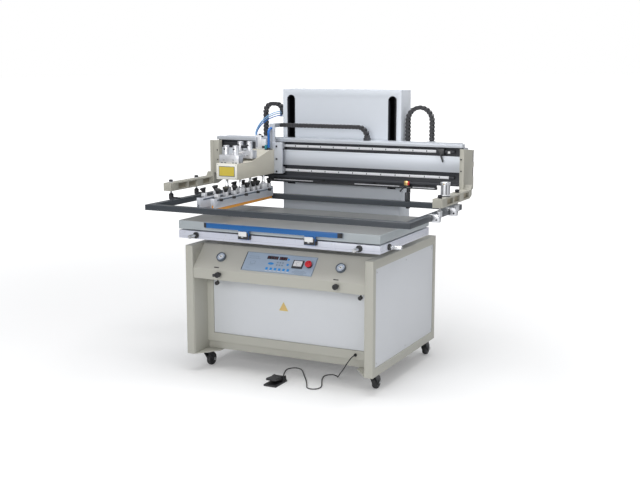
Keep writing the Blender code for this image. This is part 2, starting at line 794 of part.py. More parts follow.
def trough():
    rail = box("cable_trough", TROUGH, TROUGH_Y, TROUGH_Z, black())
    spacers = []
    for i in range(4):
        x = TROUGH[0] + 0.05 + i * (TROUGH[1] - TROUGH[0] - 0.1) / 3
        spacers.append(box("spacer", (x - SPACER / 2, x + SPACER / 2),
                           (TROUGH_Y[0] + 0.002, TROUGH_Y[1] - 0.002),
                           (TROUGH_Z[1] - 0.003, BEAM_BOTTOM - SEAT)))
    return fuse(rail, *spacers)


def end_casting(side, name):
    """The beam's end plate with the pocketed arm that carries the screen frame."""
    inner = BEAM_HALF + SEAT
    plate = [(END_PLATE_FRONT, ARM_BOTTOM), (ARM_ROOT + 0.02, ARM_BOTTOM), (END_PLATE_BACK, ARM_TOP - 0.011),
             (END_PLATE_BACK, END_PLATE_TOP - END_PLATE_FALL), (END_PLATE_FRONT, END_PLATE_TOP)]
    body = outline(name, plate, side * inner, side * (inner + END_PLATE), "X", cream())
    arm_inner = inner + ARM_START
    outer = arm_inner + ARM_WIDTH
    arm_points = [(ARM_TIP, ARM_BOTTOM), (ARM_ROOT - 0.035, ARM_BOTTOM), (ARM_ROOT, ARM_BOTTOM + 0.015),
                  (ARM_ROOT, ARM_TOP + 0.025), (ARM_ROOT - 0.018, ARM_TOP), (ARM_TIP, ARM_TOP)]
    arm = outline("arm", arm_points, side * arm_inner, side * outer, "X")
    body = fuse(body, arm)
    cutters = []
    for low, high in POCKETS:
        for face, out in ((outer, 1), (arm_inner, -1)):
            cutters.append(box("pocket", (side * (face - out * POCKET_DEPTH), side * (face + out * POCKET_DEPTH)),
                               (low, high), (ARM_BOTTOM + POCKET_RIM, ARM_TOP - POCKET_RIM)))
    for low, high in NOTCHES:
        cutters.append(box("notch", (side * (inner - END_PLATE), side * (inner + 2 * END_PLATE)),
                           (END_PLATE_BACK - NOTCH_DEPTH, END_PLATE_BACK + NOTCH_DEPTH), (low, high)))
    for y in CLAMP_Y:
        x = side * clamp_x()
        cutters.append(bar_round("screw_hole", (x, y, ARM_BOTTOM - 0.02), (x, y, ARM_TOP + 0.02),
                                 CLAMP_SCREW + RUNNING_GAP, None, 20))
    return cut(body, *cutters)


def clamp_x():
    return BEAM_HALF + SEAT + ARM_START + ARM_WIDTH / 2


def frame_clamp(side, y, name):
    """A knob and screw through the arm, with a jaw round the screen frame's side tube."""
    x = side * clamp_x()
    frame_edge = FRAME_WIDTH / 2
    screw = bar_round(name, (x, y, FRAME_TOP - 0.01), (x, y, ARM_TOP + 0.01), CLAMP_SCREW, black(), 16)
    knob = bar_round("knob", (x, y, ARM_TOP + SEAT), (x, y, ARM_TOP + CLAMP_KNOB_HEIGHT),
                     CLAMP_KNOB_RADIUS, None, 16)
    body = bar_round("body", (x, y, FRAME_BOTTOM + 0.005), (x, y, FRAME_BOTTOM + 0.005 + CLAMP_BODY_HEIGHT),
                     CLAMP_BODY_RADIUS, None, 16)
    half = JAW_LENGTH / 2
    web = box("web", (side * (frame_edge + SEAT), side * (abs(x) + 0.004)), (y - half, y + half),
              (FRAME_BOTTOM - SEAT - JAW, FRAME_TOP + SEAT + JAW))
    upper = box("upper", (side * (frame_edge - 0.025), side * (frame_edge + 0.01)),
                (y - half + 0.002, y + half - 0.002), (FRAME_TOP + SEAT, FRAME_TOP + SEAT + JAW - 0.001))
    lower = box("lower", (side * (frame_edge - 0.015), side * (frame_edge + 0.01)),
                (y - half + 0.002, y + half - 0.002),
                (FRAME_BOTTOM - SEAT - JAW + 0.001, FRAME_BOTTOM - SEAT))
    return fuse(screw, knob, body, web, upper, lower)


def screen_frame():
    half = FRAME_WIDTH / 2
    frame = box("screen_frame", (-half, half), (FRAME_FRONT, FRAME_BACK), (FRAME_BOTTOM, FRAME_TOP), slate())
    window = box("window", (-half + FRAME_TUBE, half - FRAME_TUBE),
                 (FRAME_FRONT + FRAME_TUBE, FRAME_BACK - FRAME_TUBE), (FRAME_BOTTOM - 0.05, FRAME_TOP + 0.05))
    return soften(cut(frame, window))


def frame_hanger(name, x):
    """A hook that holds the screen frame's rear tube under the beam."""
    w = HANGER_WIDTH / 2
    back = FRAME_BACK + SEAT
    post = box(name, (x - w, x + w), (back, back + 0.016), (FRAME_BOTTOM - 0.012, BEAM_BOTTOM - SEAT), black())
    lip = box("lip", (x - w + 0.001, x + w - 0.001), (FRAME_BACK - 0.012, back + 0.01),
              (FRAME_BOTTOM - 0.011, FRAME_BOTTOM - SEAT))
    pad = box("pad", (x - w + 0.001, x + w - 0.001), (FRAME_BACK - 0.030, back + 0.01),
              (FRAME_TOP + SEAT, FRAME_TOP + 0.050))
    return fuse(post, lip, pad)


def stroke_stop():
    """The stop clamped on the upper rail, with its lever."""
    z = rail_middle(UPPER_CHANNEL)
    x = STOP_CLAMP_X
    face = BEAM_FRONT + CHANNEL_DEPTH - SEAT - RAIL_DEPTH
    block = box("stroke_stop", (x - 0.022, x + 0.022), (face - 0.014, face - SEAT), (z - 0.017, z + 0.017),
                black())
    lever = bar_round("lever", (x - 0.004, face - 0.010, z), (x + 0.020, face - 0.022, z - 0.055), 0.0045,
                      None, 12)
    return fuse(block, lever)


def arm_cylinder():
    x = clamp_x()
    base = ARM_TOP + SEAT
    return bar_round("arm_cylinder", (x, CYLINDER_Y, base), (x, CYLINDER_Y, base + CYLINDER_HEIGHT),
                     CYLINDER_RADIUS - 0.003, aluminium())


def lift_block(x):
    """The neck and block behind the beam that run on a guide rod inside the column."""
    low, high = LIFT_BLOCK_Z
    neck = box("neck", (x - LIFT_NECK / 2, x + LIFT_NECK / 2), (BEAM_BACK - 0.010, GUIDE_Y), (low, high))
    block = box("block", (x - LIFT_BLOCK / 2, x + LIFT_BLOCK / 2),
                (COLUMN_FRONT + COLUMN_WALL + 0.006, GUIDE_Y + LIFT_BLOCK / 2), (low + 0.001, high - 0.001))
    return [neck, block]


# Carriage and head

def carriage_plate():
    """The plate on the rails with four bearing blocks."""
    back = PLATE_FRONT + PLATE_THICKNESS
    half = PLATE_WIDTH / 2
    plate = box("carriage_plate", (HEAD_X - half, HEAD_X + half), (PLATE_FRONT, back), PLATE_Z, aluminium())
    rail_face = BEAM_FRONT + CHANNEL_DEPTH - SEAT - RAIL_DEPTH
    blocks = []
    grooves = []
    for channel in (UPPER_CHANNEL, LOWER_CHANNEL):
        z = rail_middle(channel)
        for x in (HEAD_X - half + BEARING_LENGTH / 2 + 0.01, HEAD_X + half - BEARING_LENGTH / 2 - 0.01):
            blocks.append(box("bearing", (x - BEARING_LENGTH / 2, x + BEARING_LENGTH / 2),
                              (back - 0.004, rail_face + RAIL_DEPTH * 0.6),
                              (z - BEARING_HEIGHT / 2, z + BEARING_HEIGHT / 2)))
        grooves.append(box("groove", (HEAD_X - half - 0.1, HEAD_X + half + 0.1),
                           (rail_face - RUNNING_GAP, rail_face + RAIL_DEPTH),
                           (z - RAIL_HEIGHT / 2 - RUNNING_GAP, z + RAIL_HEIGHT / 2 + RUNNING_GAP)))
    return cut(fuse(plate, *blocks, *chain_bracket()), *grooves)


def chain_bracket():
    """The upright on the carriage that carries the chain's moving end."""
    x = HEAD_X + BRACKET_X
    back = PLATE_FRONT + PLATE_THICKNESS
    top = CARRIAGE_CHAIN_Z + CHAIN_THICKNESS / 2
    post = box("post", (x - 0.020, x + 0.014), (PLATE_FRONT + 0.001, back - 0.001), (PLATE_Z[1] - 0.01, top))
    shelf = box("shelf", (x - 0.019, x + 0.013), (PLATE_FRONT + 0.002, CARRIAGE_CHAIN_Y + CHAIN_WIDTH / 2),
                (top - CHAIN_THICKNESS, top - 0.001))
    return [post, shelf]


def head_housing():
    """The long housing with its raised back and the bores for the blade rods."""
    back = PLATE_FRONT - SEAT
    points = [(HEAD_FRONT, HEAD_BOTTOM), (back, HEAD_BOTTOM), (back, HEAD_TOP), (HEAD_SLOPE_END, HEAD_TOP),
              (HEAD_FLAT, HEAD_NOSE_TOP), (HEAD_FRONT, HEAD_NOSE_TOP)]
    half = HEAD_WIDTH / 2
    body = outline("head_housing", points, HEAD_X - half, HEAD_X + half, "X", cream())
    bores = []
    for x in (SQUEEGEE_X, FLOOD_X):
        for y in ROD_Y:
            bores.append(bar_round("bore", (x, y, HEAD_BOTTOM - 0.01), (x, y, HEAD_BOTTOM + BORE_DEPTH),
                                   ROD_RADIUS + BORE_GAP, None, 20))
    return cut(body, *bores)


def print_cylinders():
    """Two cylinder pairs on the housing, joined by their air manifold."""
    low = HEAD_NOSE_TOP + SEAT
    high = HEAD_TOP - SEAT
    front, rear = PRINT_CYLINDER_Y
    half = HEAD_WIDTH / 2 - 0.004
    block = box("print_cylinders", (HEAD_X - half, HEAD_X + half), (front - 0.024, front + 0.024),
                (low, low + 0.045), aluminium())
    slope = (HEAD_TOP - HEAD_NOSE_TOP) / (HEAD_SLOPE_END - HEAD_FLAT)
    rear_low = HEAD_NOSE_TOP + (rear + 0.024 - HEAD_FLAT) * slope + SEAT
    pieces = [box("rear_block", (HEAD_X - half, HEAD_X + half), (rear - 0.024, rear + 0.024),
                  (rear_low, rear_low + 0.045)),
              box("manifold", (HEAD_X - 0.014, HEAD_X + 0.014), (front, rear), (low + 0.020, low + 0.038))]
    for y, foot, top in ((front, low, PRINT_CYLINDER_TOP[0]), (rear, rear_low, PRINT_CYLINDER_TOP[1])):
        for shift in (-0.030, 0.030):
            pieces.append(bar_round("barrel", (HEAD_X + shift, y, foot + 0.02), (HEAD_X + shift, y, top),
                                    PRINT_CYLINDER_RADIUS, None, 20))
    return fuse(block, *pieces)


def blade_holder(name, x, finish, knob_side):
    """A long clamp bar hung on two rods, with its clamp knobs."""
    half = HOLDER_THICKNESS / 2
    bar = box(name, (x - half, x + half), (BLADE_FRONT, BLADE_BACK), (HOLDER_BOTTOM, HOLDER_TOP), finish)
    slot = box("slot", (x - 0.0053, x + 0.0053), (BLADE_FRONT - 0.01, BLADE_BACK + 0.01),
               (HOLDER_BOTTOM - 0.01, HOLDER_BOTTOM + 0.018))
    bar = cut(bar, slot)
    pieces = []
    for y in ROD_Y:
        pieces.append(box("foot", (x - half + 0.001, x + half - 0.001), (y - 0.022, y + 0.022),
                          (HOLDER_TOP - 0.004, HOLDER_TOP + 0.028)))
        pieces.append(bar_round("rod", (x, y, HOLDER_TOP + 0.02), (x, y, HEAD_BOTTOM + ROD_DEPTH), ROD_RADIUS,
                                None, 16))
    for i in range(5):
        y = BLADE_FRONT + 0.06 + i * (BLADE_BACK - BLADE_FRONT - 0.12) / 4
        pieces.append(bar_round("knob", (x + knob_side * (half - 0.002), y, HOLDER_TOP - 0.012),
                                (x + knob_side * (half + 0.016), y, HOLDER_TOP - 0.012), 0.008, None, 10))
    return fuse(bar, *pieces)


def flood_bar():
    """The flood bar: a holder with its steel blade."""
    holder = blade_holder("flood_bar", FLOOD_X, aluminium(), -1)
    edge = box("edge", (FLOOD_X - 0.0015, FLOOD_X + 0.0015), (BLADE_FRONT + 0.002, BLADE_BACK - 0.002),
               (BLADE_BOTTOM, HOLDER_BOTTOM + 0.022))
    return fuse(holder, edge)


def blade(name, x, thickness, finish):
    return box(name, (x - thickness / 2, x + thickness / 2), (BLADE_FRONT + 0.002, BLADE_BACK - 0.002),
               (BLADE_BOTTOM, HOLDER_BOTTOM + 0.018 - SEAT), finish)


# Drag chains

def chain(name, route, finish):
    """A flat chain along a route in the XZ plane, wide along Y."""
    curve = bpy.data.curves.new(name, "CURVE")
    curve.dimensions = "2D"
    curve.fill_mode = "BOTH"
    curve.extrude = CHAIN_WIDTH / 2
    spline = curve.splines.new("POLY")
    spline.points.add(len(route) - 1)
    for point, (x, z) in zip(spline.points, route):
        point.co = (x, z, 0, 1)
    spline.use_cyclic_u = True
    obj = bpy.data.objects.new(name, curve)
    PART.objects.link(obj)
    return obj, finish


def along(centre, distance):
    """The point at a distance along a centre line, and the direction there."""
    left = distance
    for a, b in zip(centre, centre[1:]):
        step = Vector(b) - Vector(a)
        if left <= step.length:
            return Vector(a) + step.normalized() * left, step.normalized()
        left -= step.length
    step = Vector(centre[-1]) - Vector(centre[-2])
    return Vector(centre[-1]), step.normalized()


def links(centre, thickness):
    """The closed outline of a chain: link bodies with a narrower waist between them."""
    length = sum((Vector(b) - Vector(a)).length for a, b in zip(centre, centre[1:]))
    count = round(length / LINK_PITCH)
    pitch = length / count
    left = []
    right = []
    for i in range(count):
        start = i * pitch
        waist = start + pitch * LINK_BODY
        marks = [(start, 1.0), (waist, 1.0)]
        if i < count - 1:
            marks += [(waist, LINK_WAIST), (start + pitch, LINK_WAIST)]
        else:
            marks[1] = (length, 1.0)
        for distance, share in marks:
            point, direction = along(centre, distance)
            side = Vector((-direction.y, direction.x)) * thickness / 2 * share
            left.append(tuple(point + side))
            right.append(tuple(point - side))
    return left + right[::-1]


def arc(middle, radius, start, end, count):
    return [(middle[0] + radius * cos(start + (end - start) * i / count),
             middle[1] + radius * sin(start + (end - start) * i / count)) for i in range(count + 1)]


def flat_chain(name, centre, y):
    obj, finish = chain(name, links(centre, CHAIN_THICKNESS), black())
    obj.matrix_world = Matrix(((1, 0, 0, 0), (0, 0, -1, y + FRONT), (0, 1, 0, 0), (0, 0, 0, 1)))
    made = meshed(obj)
    made.data.materials.append(finish)
    return made


def lift_chain(name, side, sizes):
    """A chain from the column's bracket, over the top and down to the beam's tab."""
    near, far, top, bend, anchor = sizes
    level = top - bend
    centre = [(near, anchor + SEAT)] + arc((near + bend, level), bend, pi, pi / 2, 8)
    centre += arc((far - bend, level), bend, pi / 2, 0, 8)[1 if far - near < 2 * bend + SEAT else 0:]
    centre += [(far, BEAM_TOP + SEAT)]
    centre = [(side * x, z) for x, z in centre]
    return flat_chain(name, centre, LIFT_CHAIN_Y)


def carriage_chain():
    """The chain from the carriage's bracket, bending down to its foot on the beam."""
    bend = CARRIAGE_CHAIN_BEND
    middle = (CARRIAGE_CHAIN_TURN_X, CARRIAGE_CHAIN_Z - bend)
    foot = BEAM_TOP + SEAT
    centre = [(HEAD_X + BRACKET_X + 0.0143, CARRIAGE_CHAIN_Z)] + arc(middle, bend, pi / 2, 0, 10)
    x = middle[0] + bend
    centre.append((x, foot + CHAIN_FOOT / 2))
    run = flat_chain("carriage_chain", centre, CARRIAGE_CHAIN_Y)
    half = CHAIN_THICKNESS * 0.8
    block = box("foot", (x - half, x + half), (CARRIAGE_CHAIN_Y - CHAIN_WIDTH / 2 - SEAT,
                CARRIAGE_CHAIN_Y + CHAIN_WIDTH / 2 + SEAT), (foot, foot + CHAIN_FOOT))
    return fuse(run, block)


# Casters

def fork(name, x, y):
    """A swivel plate with two cheeks and the axle."""
    plate = bar_round(name, (x, y, BASE_BOTTOM - SEAT - CASTER_PLATE), (x, y, BASE_BOTTOM - SEAT),
                      CASTER_PLATE_RADIUS, steel())
    axle_y = y + CASTER_TRAIL
    inner = WHEEL_WIDTH / 2 + FORK_GAP
    pieces = []
    for side in (-1, 1):
        low = WHEEL_RADIUS - 0.009
        top = BASE_BOTTOM - SEAT - CASTER_PLATE + 0.002
        points = [(axle_y + 0.010, low), (axle_y + 0.013, WHEEL_RADIUS + 0.01), (y + 0.026, top),
                  (y - 0.020, top), (y - 0.018, top - 0.012), (axle_y - 0.012, low)]
        pieces.append(outline("cheek", points, x + side * inner, x + side * (inner + FORK_SIDE), "X"))
    reach = inner + FORK_SIDE + 0.003
    pieces.append(bar_round("axle", (x - reach, axle_y, WHEEL_RADIUS), (x + reach, axle_y, WHEEL_RADIUS),
                            AXLE_RADIUS, None, 16))
    return fuse(plate, *pieces)


def wheel(name, x, y):
    axle_y = y + CASTER_TRAIL
    tyre = bar_round(name, (x - WHEEL_WIDTH / 2, axle_y, WHEEL_RADIUS), (x + WHEEL_WIDTH / 2, axle_y, WHEEL_RADIUS),
                     WHEEL_RADIUS, rubber(), 48)
    bore = bar_round("bore", (x - WHEEL_WIDTH, axle_y, WHEEL_RADIUS), (x + WHEEL_WIDTH, axle_y, WHEEL_RADIUS),
                     AXLE_RADIUS + RUNNING_GAP, None, 20)
    return cut(tyre, bore)


# Foot pedal and cord

PEDAL_EXIT = PEDAL_FRONT + PEDAL_LENGTH + 0.0123
CORD_ROUTE = [
    (GLAND_X, RECESS_DEPTH - 0.020, GLAND_Z), (GLAND_X, RECESS_DEPTH - 0.026, GLAND_Z),
    (GLAND_X, RECESS_DEPTH - 0.032, GLAND_Z), (0.4015, RECESS_DEPTH - 0.053, 0.1725),
    (0.393, RECESS_DEPTH - 0.069, 0.156), (0.375, RECESS_DEPTH - 0.067, 0.129),
    (0.352, RECESS_DEPTH - 0.046, 0.101), (0.324, RECESS_DEPTH - 0.014, 0.073),
    (0.297, RECESS_DEPTH + 0.024, 0.046), (0.272, RECESS_DEPTH + 0.064, 0.023),
    (0.252, RECESS_DEPTH + 0.100, 0.0085), (0.232, RECESS_DEPTH + 0.130, 0.0036),
    (0.204, RECESS_DEPTH + 0.142, 0.0034), (0.179, RECESS_DEPTH + 0.126, 0.0034),
    (0.172, RECESS_DEPTH + 0.096, 0.0034), (0.185, 0.184, 0.0034), (0.210, 0.128, 0.0034),
    (0.234, 0.078, 0.0034), (0.244, 0.042, 0.0034), (0.236, 0.011, 0.0034), (0.209, -0.003, 0.0034),
    (0.180, 0.011, 0.0034), (0.160, 0.048, 0.0034), (0.122, 0.116, 0.0034), (0.076, 0.186, 0.0034),
    (0.034, 0.250, 0.0034), (0.004, 0.290, 0.0034), (-0.026, 0.308, 0.0034), (-0.056, 0.300, 0.0034),
    (-0.071, 0.272, 0.0034), (-0.067, 0.234, 0.0034), (-0.048, 0.180, 0.0036), (-0.029, 0.138, 0.0054),
    (-0.018, 0.110, 0.0074), (-0.016, PEDAL_EXIT + 0.012, 0.008), (-0.016, PEDAL_EXIT + 0.006, 0.008),
    (-0.016, PEDAL_EXIT, 0.008)]


def cord():
    """The pedal's cord, kept on the floor where the smooth curve would dip under it."""
    lowest = CORD_RADIUS + CORD_FLOOR_GAP
    points = [(x, y, max(z, lowest)) for x, y, z in smooth_route(CORD_ROUTE, 0.016)]
    return tube("pedal_cord", points, CORD_RADIUS, black())


def cord_gland():
    start = (GLAND_X, RECESS_DEPTH - SEAT, GLAND_Z)
    gland = bar_round("cord_gland", start, (GLAND_X, RECESS_DEPTH - 0.0197, GLAND_Z), 0.009, black(), 16)
    return gland


def pedal_base():
    """The pedal's foot with side cheeks for the treadle pin."""
    half = PEDAL_WIDTH / 2
    back = PEDAL_FRONT + PEDAL_LENGTH
    base = box("pedal_base", (PEDAL_X - half, PEDAL_X + half), (PEDAL_FRONT, back), (0, PEDAL_BASE), black())
    cheeks = []
    for side in (-1, 1):
        points = [(back - 0.052, PEDAL_BASE - 0.004), (back - 0.006, PEDAL_BASE - 0.004),
                  (back - 0.012, PEDAL_HINGE_Z + 0.009), (back - 0.038, PEDAL_HINGE_Z + 0.009)]
        cheeks.append(outline("cheek", points, PEDAL_X + side * (half - 0.001), PEDAL_X + side * (half - 0.007),
                              "X"))
    pin = bar_round("pin", (PEDAL_X - half + 0.003, back - 0.024, PEDAL_HINGE_Z),
                    (PEDAL_X + half - 0.003, back - 0.024, PEDAL_HINGE_Z), 0.004, None, 12)
    boss = bar_round("boss", (-0.016, back - 0.02, 0.008), (-0.016, back + 0.012, 0.008), 0.0065, None, 12)
    return fuse(base, *cheeks, pin, boss)


def pedal_treadle():
    half = PEDAL_WIDTH / 2 - 0.009
    back = PEDAL_FRONT + PEDAL_LENGTH
    hinge_y = back - 0.024
    z = PEDAL_HINGE_Z
    points = [(PEDAL_FRONT + 0.008, z + 0.008), (PEDAL_FRONT + 0.012, z + 0.004), (hinge_y - 0.008, z - 0.008),
              (hinge_y + 0.008, z - 0.008), (hinge_y + 0.010, z + 0.007), (hinge_y - 0.010, z + 0.010),
              (PEDAL_FRONT + 0.014, z + 0.016)]
    treadle = outline("pedal_treadle", points, PEDAL_X - half, PEDAL_X + half, "X", black())
    bore = bar_round("bore", (PEDAL_X - 0.1, hinge_y, z), (PEDAL_X + 0.1, hinge_y, z), 0.004 + RUNNING_GAP, None, 16)
    return cut(treadle, bore)


def air_hose():
    """The pale hose from the left lift chain's fixed end down to the beam's top."""
    x = -LEFT_CHAIN[0]
    front = LIFT_CHAIN_Y - CHAIN_WIDTH / 2 - SEAT
    z = LEFT_CHAIN[4] + 0.010
    foot_x = x - 0.143
    foot_y = BEAM_BACK - 0.015
    foot = BEAM_TOP + SEAT
    route = [(x, front, z), (x, front - 0.005, z), (x, front - 0.010, z), (x - 0.010, 0.812, z - 0.002),
             (x - 0.034, 0.802, z - 0.010), (x - 0.070, 0.795, z - 0.028), (x - 0.105, 0.789, z - 0.056),
             (x - 0.130, foot_y + 0.001, z - 0.088), (foot_x, foot_y, foot + 0.024), (foot_x, foot_y, foot + 0.012),
             (foot_x, foot_y, foot)]
    return tube("air_hose", smooth_route(route, 0.012), 0.003, blue())


def head_hose():
    """The blue hose from the chain bracket to the head."""
    x = HEAD_X + 0.048
    face = PLATE_FRONT + 0.001 - SEAT
    low = HEAD_TOP + SEAT
    y = face - 0.0337
    z = low + 0.1237
    route = [(x, y, low), (x, y, low + 0.010), (x, y, low + 0.020), (x, y, low + 0.060), (x, y, z - 0.0257),
             (x, y + 0.0034, z - 0.0128), (x, y + 0.0128, z - 0.0034), (x, y + 0.0257, z), (x, face - 0.004, z),
             (x, face, z)]
    return tube("head_hose", smooth_route(route, 0.018), 0.006, blue())


def build():
    side_frame(-1, "left_side_frame")
    side_frame(1, "right_side_frame")
    side_panel(-1, "left_side_panel")
    side_panel(1, "right_side_panel")
    console()
    recess_frame()
    recess_panel()
    rear_wall()
    control_panel()
    gauge("left_gauge", GAUGE_LEFT_X)
    gauge("right_gauge", GAUGE_RIGHT_X)
    emergency_stop()
    regulator("left_regulator", REGULATOR_LEFT_X)
    regulator("right_regulator", REGULATOR_RIGHT_X)
    column()
    guide_rods()
    table_band()
    cross_slide()
    table_top()
    safety_bar()
    register_knob("front_left_knob", -KNOB_X, TABLE_FRONT - SEAT, (0, -1, 0))
    register_knob("front_right_knob", KNOB_X, TABLE_FRONT - SEAT, (0, -1, 0))
    register_knob("right_side_knob", TABLE_WIDTH / 2 + SEAT, KNOB_SIDE_Y, (1, 0, 0))
    beam()
    guide_rail("upper_rail", UPPER_CHANNEL)
    guide_rail("lower_rail", LOWER_CHANNEL)
    trough()
    end_casting(-1, "left_end_casting")
    end_casting(1, "right_end_casting")
    for side, word in ((-1, "left"), (1, "right")):
        for y, place_word in zip(CLAMP_Y, ("front", "rear")):
            frame_clamp(side, y, word + "_" + place_word + "_clamp")
    screen_frame()
    frame_hanger("frame_hanger", HANGER_X)
    stroke_stop()
    arm_cylinder()
    carriage_plate()
    head_housing()
    print_cylinders()
    blade_holder("squeegee_holder", SQUEEGEE_X, aluminium(), 1)
    blade("squeegee_blade", SQUEEGEE_X, 0.009, orange())
    flood_bar()
    head_hose()
    air_hose()
    lift_chain("left_lift_chain", -1, LEFT_CHAIN)
    lift_chain("right_lift_chain", 1, RIGHT_CHAIN)
    carriage_chain()
    for y, word in zip(CASTER_Y, ("front", "rear")):
        for side, side_word in ((-1, "left"), (1, "right")):
            fork(word + "_" + side_word + "_fork", side * CASTER_X, y)
            wheel(word + "_" + side_word + "_wheel", side * CASTER_X, y)
    cord_gland()
    cord()
    pedal_base()
    pedal_treadle()


build()
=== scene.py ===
import json
from math import atan2, cos, pi, radians, sin

import bpy
from mathutils import Matrix, Vector


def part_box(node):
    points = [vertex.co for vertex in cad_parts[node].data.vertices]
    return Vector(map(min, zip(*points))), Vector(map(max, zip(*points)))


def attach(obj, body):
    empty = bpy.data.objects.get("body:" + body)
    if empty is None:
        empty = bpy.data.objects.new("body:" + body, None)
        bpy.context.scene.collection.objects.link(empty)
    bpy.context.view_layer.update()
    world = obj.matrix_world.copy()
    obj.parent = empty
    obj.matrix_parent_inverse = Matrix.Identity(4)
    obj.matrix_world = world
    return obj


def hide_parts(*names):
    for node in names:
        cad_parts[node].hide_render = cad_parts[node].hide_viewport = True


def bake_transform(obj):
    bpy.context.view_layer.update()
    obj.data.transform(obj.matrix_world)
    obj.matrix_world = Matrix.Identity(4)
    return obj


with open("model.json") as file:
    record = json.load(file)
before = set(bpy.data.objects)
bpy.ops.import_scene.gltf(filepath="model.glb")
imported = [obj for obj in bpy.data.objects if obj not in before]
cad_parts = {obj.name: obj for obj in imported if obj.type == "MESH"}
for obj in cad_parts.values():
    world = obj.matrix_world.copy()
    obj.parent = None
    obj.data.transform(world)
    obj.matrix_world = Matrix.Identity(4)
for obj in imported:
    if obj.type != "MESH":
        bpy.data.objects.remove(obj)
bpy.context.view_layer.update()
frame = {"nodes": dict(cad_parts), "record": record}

# Flatbed screen printing machine: the finish of every surface, in metres, +Z up, the operator at -Y.
BODIES = frame["record"]["behaviour"]["bodies"]
BODY_OF = {node: body for body, nodes in BODIES.items() for node in nodes}
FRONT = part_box("left_side_frame")[0].y
SEAT = 0.0003
UP = (0, 0, 1)
FORWARD = (0, -1, 0)
ORIGIN = (0, 0, 0)


# Camera

CAMERA_PLACE = (2.61275, -5.22475, 1.6985)
CAMERA_TURN = (90 - 9.5306, 0.0, 26.1591)
CAMERA_LENS = 59.293


def camera():
    lens = bpy.data.cameras.new("camera")
    lens.lens = CAMERA_LENS
    lens.sensor_width = 36.0
    eye = bpy.data.objects.new("camera", lens)
    eye.location = CAMERA_PLACE
    eye.rotation_euler = [radians(angle) for angle in CAMERA_TURN]
    bpy.context.scene.collection.objects.link(eye)
    bpy.context.scene.camera = eye


# Shared shader groups

def new_group(name, inputs):
    """A group with named inputs, which puts out a colour, a roughness and a height."""
    tree = bpy.data.node_groups.new(name, "ShaderNodeTree")
    for key, value in inputs.items():
        kind = "Float" if isinstance(value, float) else "Color" if len(value) == 4 else "Vector"
        made = tree.interface.new_socket(name=key, socket_type="NodeSocket" + kind, in_out="INPUT")
        made.default_value = value
    for key, kind in (("Colour", "Color"), ("Roughness", "Float"), ("Height", "Float")):
        tree.interface.new_socket(name=key, socket_type="NodeSocket" + kind, in_out="OUTPUT")
    start = tree.nodes.new("NodeGroupInput")
    end = tree.nodes.new("NodeGroupOutput")
    where = node(tree, "ShaderNodeTexCoord").outputs["Object"]
    return tree, start.outputs, end.inputs, where


def around(tree, value, amount):
    """The swing of a noise to both sides of its middle, times an amount."""
    return sum_up(tree, "MULTIPLY", sum_up(tree, "SUBTRACT", value, 0.5), amount)


def total(tree, *values):
    found = values[0]
    for value in values[1:]:
        found = sum_up(tree, "ADD", found, value)
    return found


def node(tree, kind, **settings):
    made = tree.nodes.new(kind)
    for key, value in settings.items():
        setattr(made, key, value)
    return made


def sum_up(tree, operation, a, b):
    made = node(tree, "ShaderNodeMath", operation=operation)
    for place, value in enumerate((a, b)):
        if isinstance(value, (int, float)):
            made.inputs[place].default_value = value
        else:
            tree.links.new(value, made.inputs[place])
    return made.outputs[0]


def noise(tree, vector, scale, detail, roughness=0.5):
    made = node(tree, "ShaderNodeTexNoise")
    tree.links.new(vector, made.inputs["Vector"])
    if isinstance(scale, (int, float)):
        made.inputs["Scale"].default_value = scale
    else:
        tree.links.new(scale, made.inputs["Scale"])
    made.inputs["Detail"].default_value = detail
    made.inputs["Roughness"].default_value = roughness
    return made.outputs["Fac"]


def shaded(tree, colour, amount):
    """The colour made lighter or darker by a factor round one."""
    scale = node(tree, "ShaderNodeVectorMath", operation="SCALE")
    tree.links.new(colour, scale.inputs[0])
    tree.links.new(amount, scale.inputs["Scale"])
    return scale.outputs[0]


def coating_group():
    """Sprayed paint and moulded plastic: slow drift of shade, fine peel, paler rubbed edges."""
    tree, start, end, where = new_group("coating", {"Colour": (0.5, 0.5, 0.5, 1.0), "Drift": 0.05,
                                                    "Roughness": 0.45, "Peel Scale": 700.0, "Edge": 0.3,
                                                    "Smudge": 1.0})
    slow = noise(tree, where, 3.5, 3.0)
    fine = noise(tree, where, start["Peel Scale"], 2.0, 0.6)
    smudge = noise(tree, where, 28.0, 4.0, 0.65)
    marks = around(tree, smudge, start["Smudge"])
    point = node(tree, "ShaderNodeNewGeometry").outputs["Pointiness"]
    rim = node(tree, "ShaderNodeMapRange")
    rim.inputs["From Min"].default_value = 0.53
    rim.inputs["From Max"].default_value = 0.62
    tree.links.new(point, rim.inputs["Value"])
    worn = sum_up(tree, "MULTIPLY", rim.outputs[0], start["Edge"])
    specks = sum_up(tree, "MULTIPLY", marks, 0.03)
    factor = total(tree, around(tree, slow, start["Drift"]), specks, worn, 1.0)
    tree.links.new(shaded(tree, start["Colour"], factor), end["Colour"])
    tree.links.new(total(tree, sum_up(tree, "MULTIPLY", marks, 0.18), start["Roughness"]), end["Roughness"])
    tree.links.new(fine, end["Height"])
    return tree


